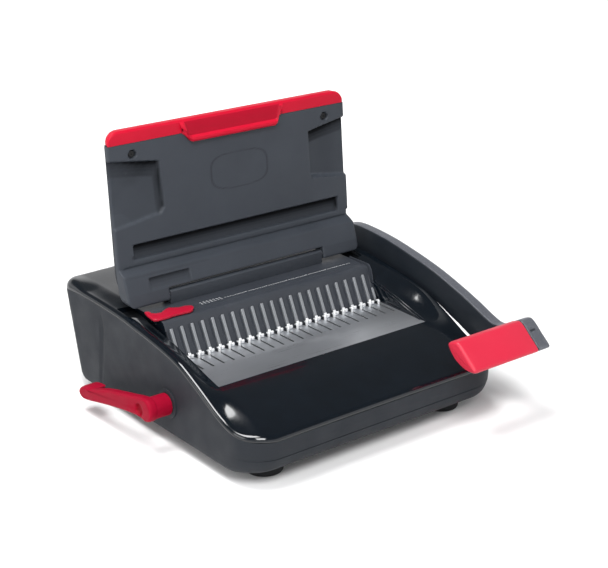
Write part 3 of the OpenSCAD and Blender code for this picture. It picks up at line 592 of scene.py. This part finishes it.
# painted shade: each point of the panel keeps a value, 'shade', that darkens the recesses as if shaded from above, puts
# a painted highlight on the ledges below them, darkens deep floors a little and draws a painted dark line along the
# raised outline; the value scales the panel's colour and specular
co_ = np.array([tuple(v.co) for v in liner.data.vertices]) * 1000 - np.array([OX, OY, 0])
vx, vz = co_[:, 0], co_[:, 2]
dep = relief(vx, vz); occ = np.zeros(len(dep)); lit = np.zeros(len(dep))
for dl_ in (1.5, 3.0, 5.0, 8.0, 12.0, 17.0):
    up_d = relief(vx + 0.45 * dl_, np.minimum(vz + dl_, 321)) * (vz + dl_ < 322)
    occ = np.maximum(occ, np.clip((dep - up_d) / (dl_ + 1.6), 0, 1))
    dn_d = relief(vx - 0.2 * dl_, vz - dl_)
    lit = np.maximum(lit, np.clip((dep - dn_d) / 6.0, 0, 1) if dl_ <= 3.0 else 0)
# painted shade in the recesses, painted highlight on the ledges under them, a little more painted shade on deep floors
shade = np.clip(1.0 - 0.95 * occ ** 0.8 + 0.45 * lit * (occ < 0.12) - 0.10 * (dep > 2.5), 0.12, 1.5)
ro_ = (np.abs((vx - 3) / 42.0) ** 3.4 + np.abs((vz - 267) / 21.5) ** 3.4) ** (1 / 3.4)
# painted dark line along the raised outline
shade = shade * (1 - 0.34 * np.clip(1 - np.abs(ro_ - 0.985) / 0.05, 0, 1))
shade[co_[:, 1] > face_y(vz) + 8.6] = 1.0
at_ = liner.data.attributes.new("shade", "FLOAT", "POINT"); at_.data.foreach_set("value", shade.astype(np.float32))
put(liner, "cover", "liner_grey", "cover_liner")

# outer skin of the cover: a dished moulding whose sides draw in towards the back
def skin_ring(o, yo, zt=322.0, zb=150.2, rc=14.0, n=10, xw=172.0, bow=0.0):
    """Rounded outline in X and height, inset by o, at a distance yo behind the inner face."""
    x0, x1, z0, z1 = CX - xw + o, CX + xw - o, zb + min(o, 10) * 0.6, zt
    rb = rc
    pts = []
    def arc(cx_, cz_, a0, a1, r):
        for k in range(n + 1):
            a = math.radians(a0 + (a1 - a0) * k / n); pts.append((cx_ + r * math.cos(a), cz_ + r * math.sin(a)))
    m = 26
    for k in range(m): pts.append((x0 + rb + (x1 - x0 - 2 * rb) * k / m, z0))
    arc(x1 - rb, z0 + rb, -90, 0, rb)
    for k in range(1, m): pts.append((x1, z0 + rb + (z1 - 0.6 - z0 - rb) * k / m))
    arc(x1 - 0.6, z1 - 0.6, 0, 90, 0.6)
    for k in range(1, m): pts.append((x1 - 0.6 - (x1 - x0 - 1.2) * k / m, z1))
    arc(x0 + 0.6, z1 - 0.6, 90, 180, 0.6)
    for k in range(1, m): pts.append((x0, z1 - 0.6 - (z1 - 0.6 - z0 - rb) * k / m))
    arc(x0 + rb, z0 + rb, 180, 270, rb)
    P = np.array(pts)
    out = []
    for x, z in P:
        thick = 18 - 3 * np.clip((z - 176) / 146, 0, 1)
        base = cy(max(z, 176)) if z >= 176 else 85.1 - 6 + (z - 150.2) * (cy(176) + 6 - 85.1) / 25.8
        fall = thick if z >= 176 else 20 + (z - 176) * 0.16
        out.append((x, base + min(yo, 1.0) * 0 + yo * fall, z))
    return np.array(out)


rings = [skin_ring(o, f) for o, f in [(5.0, 0.80), (3.2, 0.78), (2.6, 0.66), (2.4, 0.40), (1.5, 0.36), (0.3, 0.38), (0.0, 0.42), (0.6, 0.50), (2.6, 0.62), (6.0, 0.75), (10.2, 0.86), (14.5, 0.935), (19.5, 0.98), (26, 1.0)]]
# shallow panel pressed into the back, with a soft border
rings += [skin_ring(31, 1.0), skin_ring(33, 0.985), skin_ring(35, 0.955), skin_ring(37, 0.94), skin_ring(60, 0.94)]
skin = loft("cover_shell", rings, M_GREY, angle=40)
put(skin, "cover", "liner_grey", "cover_skin")

# red top strip: rounded upper corners, closed at the back, with the scooped grip in front
ct = CT
strip_prof = [(cy(ct - 15.9) + 0.2, ct - 15.95), (cy(ct - 4) + 0.0, ct - 3.2), (cy(ct - 2) + 1.2, ct - 0.4), (cy(ct) + 11.0, ct - 0.4), (cy(ct - 4) + 14.4, ct - 4), (cy(ct - 15.9) + 14.8, ct - 15.95)]
sp_ = round_poly(strip_prof, [0.5, 2.2, 2.4, 3.0, 2.0, 0.5], n=5)
stations = []
hw_ = 172.0
for x in np.r_[CX - hw_ + np.array([0, 0.3, 0.9, 1.8, 3.0, 4.5, 6.5, 9, 12, 15, 18]), np.arange(CX - hw_ + 26, CX + hw_ - 20, 8.0), CX + hw_ - np.array([18, 15, 12, 9, 6.5, 4.5, 3.0, 1.8, 0.9, 0.3, 0])]:
    e_ = min(x - (CX - hw_), CX + hw_ - x)
    Rc = 14.0
    zmax = ct - 0.4 if e_ >= Rc else ct - 0.4 - Rc + math.sqrt(max(Rc * Rc - (Rc - e_) ** 2, 0))
    pin = edge_round(np.array(max(e_, 0.0)), 2.0)
    ring = []
    zb_ = ct - 15.95
    for y, z in sp_:
        zz = zb_ + (z - zb_) * (zmax - zb_) / (ct - 0.4 - zb_)
        yc_ = cy(zz) + 7.4
        # sides draw in towards the back like the skin
        yy = yc_ + (y - cy(z) - 7.4) * (1 - float(pin) / 9)
        o_ = float(np.interp((y - cy(z)) / 15.0, [0.36, 0.42, 0.50, 0.62, 0.75, 0.86, 0.935, 1.0], [1.2, 0.0, 0.6, 2.6, 6.0, 9.0, 11.5, 13.5]))
        ring.append((CX + (x - CX) * (1 - o_ / hw_), yy, zz))
    stations.append(ring)
strip = loft("red_strip", stations, M_STRIP, angle=40)
# grip: a scoop that runs from the strip's top edge down and out to a rounded lip
gx0, gx1 = -78.0, 73.0
gs = []
for x in np.r_[gx0 + np.array([0, 0.4, 1.2, 2.4, 4, 6, 8, 9.2]), np.linspace(gx0 + 14, gx1 - 14, 22), gx1 - np.array([9.2, 8, 6, 4, 2.4, 1.2, 0.4, 0])]:
    e_ = min(x - gx0, gx1 - x)
    f = float(sstep(0, 9.5, e_)) * 0.86 + 0.14
    wall_ = float(1 - sstep(2.4, 8.0, e_))     # end walls stand proud of the scoop
    z_lip = ct - 15.5 - 11.0 * f
    p = [(cy(ct - 2.4) + 0.6, ct - 2.4), (cy(ct - 4) - 1.2 - 4.8 * wall_ * f, ct - 4.6), (cy(ct - 14) - 2.6 - 4.4 * wall_ * f, ct - 13), (cy(z_lip + 7) - 4.2 - 2.6 * wall_ * f, z_lip + 7.6), (cy(z_lip + 5) - 7.6 * f - 0.4, z_lip + 5.6),
         (cy(z_lip + 3) - 8.0 * f - 0.3, z_lip + 2.8), (cy(z_lip + 1) - 6.2 * f - 0.2, z_lip + 0.4), (cy(z_lip) - 3.0 * f, z_lip), (cy(z_lip) - 0.1, z_lip + 0.2), (cy(z_lip + 6) + 0.1, z_lip + 6), (cy(ct - 8) + 0.8, ct - 8)]
    gs.append([((gx0 + gx1) / 2 + (x - (gx0 + gx1) / 2) * (1 - (0.07 if x < (gx0 + gx1) / 2 else 0.12) * (ct - 2.4 - b) / 24.0), a, b) for a, b in p])
grip_bar = loft("red_grip_bar", gs, M_STRIP, angle=50)
# the scooped front faces of the grip take the darker red: painted shade
grip_bar.data.materials.append(M_SCOOP_PAINTED_SHADE)
for pl in grip_bar.data.polygons:
    gc = pl.center * 1000
    if ct - 18.5 < gc.z < ct - 2.9 and gx0 + 7 < gc.x - OX < gx1 - 7 and pl.normal.y < -0.3: pl.material_index = 1
sub = grip_bar.modifiers.new("s", "BEVEL"); sub.width = 0.0012; sub.segments = 3; sub.limit_method = "ANGLE"; sub.angle_limit = math.radians(28); sub.harden_normals = False
bpy.context.view_layer.objects.active = grip_bar
bpy.ops.object.select_all(action="DESELECT"); grip_bar.select_set(True)
bpy.ops.object.modifier_apply(modifier="s")
strip = join("cover_red_grip", [strip, grip_bar])
put(strip, "cover", "red_plastic", "cover_handle")

# ------------------------------------------------------------------ comb rest, bars, hooks
RY0 = 4.2
def rest_z(y): return 92 + (y - RY0 - 2) * 34.5 / (20 - RY0)
PITCH = 14.2875
bxs = [PITCH * (i - 10.5) for i in range(22)]
base_prof = [(4.2, 84.2), (4.2, 88), (6.2, 92), (8.0, rest_z(8.0)), (9.5, rest_z(9.5)), (12, rest_z(12)), (15, rest_z(15)), (18, rest_z(18)), (19.4, rest_z(19.4)), (20.6, rest_z(20.6)), (21.6, 125.9), (22.6, 127.6), (24.2, 128.7), (26.2, 129.05),
             (34.0, 129.1), (34.6, 128.7), (35.3, 128.7), (35.9, 129.15), (50, 129.3), (64.8, 129.48), (84, 129.5), (84, 126.5), (25, 126), (9, 93), (9, 84.2)]
st = []
xr = [DX - 152.6]
for x in bxs[:-1]:
    for d in (-3.2, -2.6, 2.6, 3.2): xr.append(x + d)
    xr += [x + 4.4, x + 4.9, x + PITCH - 4.9, x + PITCH - 4.4]
xr = sorted(v for v in set(xr) if DX - 152.6 <= v <= DX + 151) + [DX + 152.6]
for x in xr:
    near = min(abs(x - b) for b in bxs)
    ring = []
    for k, (y, z) in enumerate(base_prof):
        if 3 <= k <= 8:
            g = 1.1 * float(sstep(2.7, 3.1, near)) * (1.0 if near < 4.6 else 0.35) * (0.0 if k == 3 or k == 8 else 1.0)
            y, z = y + 0.91 * g, z - 0.41 * g
        ring.append((x, y, z))
    st.append(ring)
rest = loft("comb_rest_moulding", st, M_REST, angle=32)
cheek = rprism("rest_cheek", round_poly([(4.2, 86), (14, 126), (19, 132.4), (58, 132.4), (58, 128), (10, 88)], [0.5, 3, 5, 3, 0.5, 0.5], n=4), DX + 151.4, DX + 152.6, 0.4, M_REST)
# the rest's left end wall is gloss black instead of the rest grey: painted shade, as that wall stands in the shadow of
# the well's side
end_wall_painted_shade = rprism("rest_end_painted_shade", [(4.4, 84.2), (4.4, 88), (6.4, 92), (20.9, 123.6), (24.2, 128.6), (84, 129.2), (84, 122), (60, 118), (20, 98), (9, 84.2)], DX - 152.75, DX - 151.4, 0.1, M_BLACK, n=2)
rest = join("comb_rest_moulding", [rest, cheek, end_wall_painted_shade])
put(rest, "housing", "liner_grey", "comb_rest")

bars_ = []
for i, x in enumerate(bxs):
    if i == 21:
        pr = [(1.6, 88.3), (4.2, 88.3), (6.2, 92), (11, rest_z(11)), (9.8, rest_z(11) + 3), (3.4, 94)]
        bars_.append(rprism("b", round_poly(pr, [0.4, 0.4, 0.4, 0.6, 1.6, 0.8], n=4), x - 5.9, x - 2.9, 0.7, M_BAR)); continue
    pr = [(1.4, 88.3), (4.2, 88.3), (6.2, 92), (18.6, rest_z(18.6)), (17.4, 122.8), (3.2, 94)]
    bars_.append(rprism("b", round_poly(pr, [0.4, 0.4, 0.4, 0.8, 2.0, 0.8], n=5), x - 1.9, x + 1.9, 0.6, M_BAR))
    ft = [(1.0, 88.35), (-3.9, 88.35), (-4.6, 91.6), (-3.4, 93.2), (-2.0, 92.6), (-2.0, 90.6), (0.8, 90.8), (2.4, 93.8), (4.4, 89.0), (3.6, 88.35)]
    bars_.append(rprism("f", round_poly(ft, [0.4, 0.8, 0.8, 0.7, 0.6, 0.8, 1.2, 0.8, 0.4, 0.3], n=4), x - 1.8, x + 1.8, 0.5, M_HOOK))
bars = join("comb_resting_bars", bars_)
put(bars, "housing", "bar_metal", "comb_bars")

hooks_ = []
for i in range(21):
    x = PITCH * (i - 10)
    hk = [(-8, 81.1), (-4.6, 81.1), (-4.6, 91.0), (-3.4, 91.6), (-1.7, 90.8), (-1.5, 92.4), (-4.6, 94), (-7.0, 93.4), (-8, 92)]
    hooks_.append(rprism("h", round_poly(hk, [0.2, 0.2, 1.0, 0.8, 0.4, 0.5, 1.2, 1.6, 1.0], n=4), x - 0.8, x + 0.8, 0.3, M_HOOK))
hooks = join("opener_hooks", hooks_)
put(hooks, "rake", "hook_metal", "rake_hooks")

# printed marks on the strip: a plain ruler scale and a block of short dashes
pm = []
def tick(x0, x1, y0, y1, z=129.62, t=0.14):
    v = [(x0, y0, z - t), (x1, y0, z - t), (x1, y1, z - t), (x0, y1, z - t), (x0, y0, z), (x1, y0, z), (x1, y1, z), (x0, y1, z)]
    f = [(0, 3, 2, 1), (4, 5, 6, 7), (0, 1, 5, 4), (1, 2, 6, 5), (2, 3, 7, 6), (3, 0, 4, 7)]
    return v, f
V, Fc = [], []
def add_tick(*a, **k):
    v, f = tick(*a, **k); o = len(V); V.extend(v); Fc.extend([tuple(q + o for q in ff) for ff in f])
for i in range(57):
    x = DX - 52 + i * 3.4
    add_tick(x, x + (2.6 if i % 9 else 1.2), 43.3, 43.85 if i % 9 else 44.6, z=129.44)
for rr_ in range(3):
    for cc in range(7):
                add_tick(DX - 86 + cc * 4.6, DX - 84.0 + cc * 4.6, 41.9 + rr_ * 2.6, 42.6 + rr_ * 2.6, z=129.44)
marks = new_obj("ruler_marks", V, Fc, M_INK, smooth=False)
put(marks, "housing", "print_light", "scale_strip")

# hinge block
hb = round_poly([(65.3, 129.5), (65.3, 144.5), (67, 146.3), (72, 146.6), (76, 145), (84, 140), (84, 129.5)], [0.3, 1.6, 1.4, 2, 3, 2, 0.3], n=4)
put(rprism("hinge_housing", hb, DX - 114, DX + 114, 1.4, M_LINER, n=4), "housing", "liner_grey", "hinge_block")

# red edge guide
def slab(name, pts, r, z0, z1, mat, bev=0.6, n=4):
    P = round_poly(pts, r, n=5)
    rings = []
    for k in range(n + 1):
        q = k / n * math.pi / 2; rings.append((z0 + bev * (1 - math.cos(q)), inset2d(P, bev * (1 - math.sin(q)))))
    for k in range(n + 1):
        q = (1 - k / n) * math.pi / 2; rings.append((z1 - bev * (1 - math.cos(q)), inset2d(P, bev * (1 - math.sin(q)))))
    return loft(name, [np.c_[p, np.full(len(p), z)] for z, p in rings], mat)
guide_pts = [(-160.5, 57.0), (-155.8, 54.0), (-156, 48), (-153, 44.2), (-146.5, 43), (-138.5, 48), (-131.5, 50.6), (-121.5, 43.6), (-112.5, 43.8), (-106.2, 39.5), (-106.6, 34.5), (-112.5, 28.2),
             (-117, 26.6), (-127, 27.6), (-139, 28.2), (-148, 26.8), (-157, 27.2), (-162.5, 28.0), (-165, 30.5), (-164.8, 36), (-163, 48)]
g1 = slab("guide_body", guide_pts, [1.5, 1.2, 2, 2, 3, 3, 3, 3, 3, 3, 2, 2, 2, 2, 2, 2, 2, 2, 2, 2, 3], 130.0, 133.0, M_RED, bev=0.8)
put(g1, "guide", "red_plastic", "edge_guide")

# ------------------------------------------------------------------ punch lever
arm_pts = [(142, 96), (142, 112), (138, 129), (128, 143), (114, 152), (98, 156), (73, 156), (33, 152.5), (-11, 145), (-54, 135.5), (-92, 124), (-122, 113.5), (-148, 103),
           (-163, 99), (-177, 102), (-190, 110), (-201, 116.5), (-209, 115), (-222, 104), (-234.5, 93.5), (-236, 90), (-231, 88.5), (-214, 93), (-196, 92),
           (-184, 80), (-168, 70), (-152, 66), (-135, 67), (-122, 72), (-101, 81), (-88, 86), (-64, 96), (-40, 103), (20, 112), (70, 112), (88, 100), (94, 92), (100, 84), (112, 77), (128, 78), (138, 86)]
cap_pts = [(-190, 110), (-201, 116.5), (-209, 115), (-222, 104), (-234.5, 93.5), (-236, 90), (-231, 88.5), (-214, 93), (-196, 102)]
AP = resample(arm_pts, 2.6)
AP[:, 0] = np.clip(AP[:, 0], -235.9, 142)
rings = []
for x, o in [(188.0, 2.2), (188.15, 1.5), (188.6, 0.8), (189.2, 0.3), (190.0, 0.05), (192, 0.0), (200.0, 0.0), (202, 0.1), (202.9, 0.5), (203.6, 1.2), (204.0, 2.2)]:
    rings.append(np.c_[np.full(len(AP), x), inset2d(AP, o)])
arm = loft("lever_arm_body", rings, M_LEVER, angle=50)
# the arm's outward side faces take the darker copy: painted shade, the top standing lit and the side in shade
arm.data.materials.append(M_ARMSIDE_PAINTED_SHADE)
for pl in arm.data.polygons:
    c = pl.center; n_ = pl.normal
    if n_.x < -0.62 and c.x * 1000 - OX < 189.0: pl.material_index = 1
cp = resample(cap_pts, 1.4)
cp[:, 0] = np.clip(cp[:, 0], -235.9, 142)
rings = []
for x, o in [(190.05, 0.25), (190.3, 0.05), (191, 0.0), (200, 0.0), (205.5, 0.05), (206.8, 0.5), (207.6, 1.2), (208.0, 2.2)]:
    rings.append(np.c_[np.full(len(cp), x), inset2d(cp, o)])
capo = loft("end_cap", rings, M_LEVER, angle=50)
arm = join("lever_arm_body", [arm, capo])
put(arm, "punch_lever", "lever_grey", "lever_arm")

grip_pts = [(-190, 110), (-201, 116.5), (-209, 115), (-222, 104), (-234.5, 93.5), (-236, 90), (-231, 87), (-216, 88), (-200, 96)]
gp = resample(grip_pts, 1.3); gp[:, 0] = np.clip(gp[:, 0], -235.9, 142)
rings = []
for x, o in [(86.0, 3.4), (86.15, 2.6), (86.6, 1.8), (87.4, 1.0), (88.6, 0.45), (90.2, 0.1), (92.0, 0.0), (140, -0.0), (186.9, 0.0), (187.6, 0.15), (187.9, 0.5)]:
    P = inset2d(gp, o)
    shear = (x - 86.0) < 8
    rings.append(np.c_[np.full(len(P), x) + (np.clip((x - 86) / 8, 0, 1) * 0), P])
gripo = loft("lever_grip_sleeve", rings, M_GRIP, angle=50)
put(gripo, "punch_lever", "red_grip", "lever_grip")

# ------------------------------------------------------------------ comb lever
hubp = lathe("hubp", [(3.9, -186.6), (12.2, -186.6), (12.8, -187.2), (13.0, -188.4), (12.9, -200), (13.2, -207.6), (12.2, -208.6), (3.9, -208.6)], (0, -25, 54), "x", M_LEVRED, n=64)
up_ = [(-25, 68), (-14, 66.4), (10, 60.5), (57, 49), (92, 37.6), (102, 36.4), (112, 34.2), (119.4, 29.4), (120.8, 24), (116, 19.2), (104, 19), (60, 29), (20, 37.0), (-12, 41.4), (-25, 40.0), (-33, 42.5), (-38.4, 50), (-38.4, 58), (-33, 65.6)]
lp = resample(up_, 2.2)
rings = []
for x, o in [(-217.0, 3.2), (-216.8, 2.2), (-216.2, 1.2), (-215.2, 0.5), (-213.8, 0.1), (-212, 0.0), (-208.6, 0.0), (-207.2, 0.3), (-206.4, 1.0), (-206.0, 2.0)]:
    rings.append(np.c_[np.full(len(lp), x), inset2d(lp, o)])
armp = loft("armp", rings, M_LEVRED, angle=50)
# finger dimple near the pivot
bm = bmesh.new(); bm.from_mesh(armp.data)
far = [f for f in bm.faces if len(f.verts) > 12 and f.calc_center_median().x * 1000 - OX < -216.5]
if far:
    bmesh.ops.delete(bm, geom=far, context="FACES_ONLY")
bm.to_mesh(armp.data); bm.free()
# rebuild the outer face as rings that sink into the dimple
cen = np.array([-14.5, 51.5])
out_edge = inset2d(lp, 3.2)
rr_ = []
circ = []
for p in out_edge:
    a = math.atan2(p[1] - cen[1], p[0] - cen[0]); circ.append((cen[0] + 8.2 * math.cos(a), cen[1] + 8.2 * math.sin(a)))
circ = np.array(circ)
for t, xo in [(0, 0.0), (0.35, -0.0), (0.75, 0.0), (1.0, 0.0)]:
    rr_.append(np.c_[np.full(len(lp), -217.0 + xo), out_edge * (1 - t) + circ * t])
for k, (s_, dp) in enumerate([(0.95, 0.25), (0.90, 0.9), (0.85, 2.2), (0.80, 4.2), (0.62, 5.4), (0.2, 5.8)]):
    rr_.append(np.c_[np.full(len(lp), -217.0 + dp), cen + (circ - cen) * s_])
facep = loft("facep", rr_, M_LEVRED, caps=False, angle=50)
bm = bmesh.new(); bm.from_mesh(facep.data); bm.verts.ensure_lookup_table()
nL = len(lp); last = [bm.verts[(len(rr_) - 1) * nL + j] for j in range(nL)]
bm.faces.new(last); bmesh.ops.recalc_face_normals(bm, faces=bm.faces); bm.to_mesh(facep.data); bm.free()
# the faces sunk into the dimple take the darker red: painted shade
facep.data.materials.append(M_SCOOP_PAINTED_SHADE)
for pl in facep.data.polygons:
    if pl.center.x * 1000 - OX > -215.6: pl.material_index = 1
# thumb pad standing inwards at the tip
pad_pts = resample([(90, 37.6), (97, 38.2), (108, 36.2), (117, 31.8), (119.6, 27.6), (116, 24.4), (104, 27.4), (95, 31.0)], 1.6)
rings = []
for x, o in [(-214.5, 1.2), (-213.8, 0.6), (-212, 0.15), (-208, 0.0), (-199.0, 0.0), (-197.4, 0.35), (-196.4, 1.0), (-196.0, 1.9)]:
    rings.append(np.c_[np.full(len(pad_pts), x), inset2d(pad_pts, o)])
padp = loft("padp", rings, M_LEVRED, angle=50)
bmj = join("opener_lever_body", [armp, facep, padp, hubp])
bm = bmesh.new(); bm.from_mesh(bmj.data); bmesh.ops.remove_doubles(bm, verts=bm.verts, dist=1e-6); bmesh.ops.recalc_face_normals(bm, faces=bm.faces); bm.to_mesh(bmj.data); bm.free()
bmj.data.polygons.foreach_set("use_smooth", [True] * len(bmj.data.polygons))
put(bmj, "opener_lever", "red_plastic", "comb_lever")

# ------------------------------------------------------------------ feet
feet_ = []
for fx_, fy_ in [(-132, -134), (132, -134), (-140, 150), (140, 150)]:
    feet_.append(lathe("foot", [(5, 2.4), (6.2, 0.6), (8.0, 0.0), (19.6, 0.0), (20.6, 0.4), (21.2, 1.2), (21.6, 3.6), (21.9, 6.2), (21.5, 7.0), (21.5, 8.2), (21.95, 9.0), (21.95, 13.6), (21.4, 14.6), (20.6, 14.95), (5.0, 14.95)], (fx_, fy_, 0), "z", M_RUBBER, n=64))
feet = join("rubber_foot_pads", feet_)
put(feet, "housing", "rubber", "rubber_feet")

# ------------------------------------------------------------------ camera, floor, light
W = Vector((0.57785, 0.73456, -0.35567)); U = Vector((0.21985, 0.27949, 0.93461)); R = Vector((0.786, -0.61823, 0.0))
A = math.radians(38.18690625); E = math.radians(20.83442861)
R = Vector((math.cos(A), -math.sin(A), 0)); F = Vector((math.sin(A), math.cos(A), 0))
W = F * math.cos(E) - Vector((0, 0, 1)) * math.sin(E); U = F * math.sin(E) + Vector((0, 0, 1)) * math.cos(E)
cam_data = bpy.data.cameras.new("camera"); cam = bpy.data.objects.new("camera", cam_data)
bpy.context.scene.collection.objects.link(cam)
mat = Matrix((R, U, -W)).transposed().to_4x4()
mat.translation = Vector(row((-1008.056, -1318.733, 777.813)))
cam.matrix_world = mat
cam_data.sensor_fit = "HORIZONTAL"; cam_data.sensor_width = 36.0; cam_data.lens = 1500 * 36.0 / 608
cam_data.clip_start = 0.05; cam_data.clip_end = 50
bpy.context.scene.camera = cam

# pale floor that also glows, from none near the front to emission 0.6 towards the back right: painted light
fm = bpy.data.materials.new("floor_pale_painted_glow"); fm.use_nodes = True
fb = fm.node_tree.nodes["Principled BSDF"]; fb.inputs["Base Color"].default_value = (0.90, 0.90, 0.90, 1); fb.inputs["Roughness"].default_value = 0.9
fn = fm.node_tree; ftc = fn.nodes.new("ShaderNodeTexCoord"); fsep = fn.nodes.new("ShaderNodeSeparateXYZ"); floor_glow_ramp = fn.nodes.new("ShaderNodeMapRange")
fadd = fn.nodes.new("ShaderNodeMath"); fadd.operation = "ADD"
fn.links.new(ftc.outputs["Object"], fsep.inputs[0]); fn.links.new(fsep.outputs["X"], fadd.inputs[0]); fn.links.new(fsep.outputs["Y"], fadd.inputs[1]); fn.links.new(fadd.outputs[0], floor_glow_ramp.inputs["Value"])
floor_glow_ramp.inputs["From Min"].default_value = 0.5; floor_glow_ramp.inputs["From Max"].default_value = 2.6; floor_glow_ramp.inputs["To Min"].default_value = 0.0; floor_glow_ramp.inputs["To Max"].default_value = 0.6
fb.inputs["Emission Color"].default_value = (1, 1, 1, 1); fn.links.new(floor_glow_ramp.outputs[0], fb.inputs["Emission Strength"])
me = bpy.data.meshes.new("floor"); me.from_pydata([(-12, -12, 0), (12, -12, 0), (12, 12, 0), (-12, 12, 0)], [], [(0, 1, 2, 3)])
floor = bpy.data.objects.new("floor", me); bpy.context.scene.collection.objects.link(floor); me.materials.append(fm)

world = bpy.data.worlds.new("studio"); bpy.context.scene.world = world; world.use_nodes = True
wn = world.node_tree; bg = wn.nodes["Background"]
wtc = wn.nodes.new("ShaderNodeTexCoord"); wsep = wn.nodes.new("ShaderNodeSeparateXYZ"); wr = wn.nodes.new("ShaderNodeValToRGB")
wn.links.new(wtc.outputs["Generated"], wsep.inputs[0]); wn.links.new(wsep.outputs["Z"], wr.inputs[0]); wn.links.new(wr.outputs[0], bg.inputs[0])
wr.color_ramp.elements[0].position = 0.0; wr.color_ramp.elements[0].color = (0.70, 0.70, 0.70, 1)
wr.color_ramp.elements[1].position = 1.0; wr.color_ramp.elements[1].color = (0.07, 0.07, 0.075, 1)
for pos_, v_ in [(0.28, 1.0), (0.40, 0.72), (0.50, 0.13)]:
    el_ = wr.color_ramp.elements.new(pos_); el_.color = (v_, v_, v_ * 1.01, 1)
bg.inputs[1].default_value = 1.15
bpy.context.scene.view_settings.view_transform = "Standard"
bpy.context.scene.view_settings.look = "None"


def area(name, loc, target, size, power, col=(1, 1, 1), size_y=None):
    l = bpy.data.lights.new(name, "AREA"); l.energy = power; l.color = col; l.size = size
    if size_y: l.shape = "RECTANGLE"; l.size_y = size_y
    o = bpy.data.objects.new(name, l); bpy.context.scene.collection.objects.link(o)
    o.location = loc; o.rotation_euler = (Vector(target) - Vector(loc)).to_track_quat("-Z", "Y").to_euler()
    return o


area("key_front", (-1.15, -1.95, 2.6), (0, 0, 0.12), 1.5, 96)
area("left_soft", (-2.3, 0.1, 1.3), (0, 0, 0.12), 1.4, 15)
area("top_soft", (-0.6, 0.2, 2.6), (0, 0, 0.1), 1.2, 62)
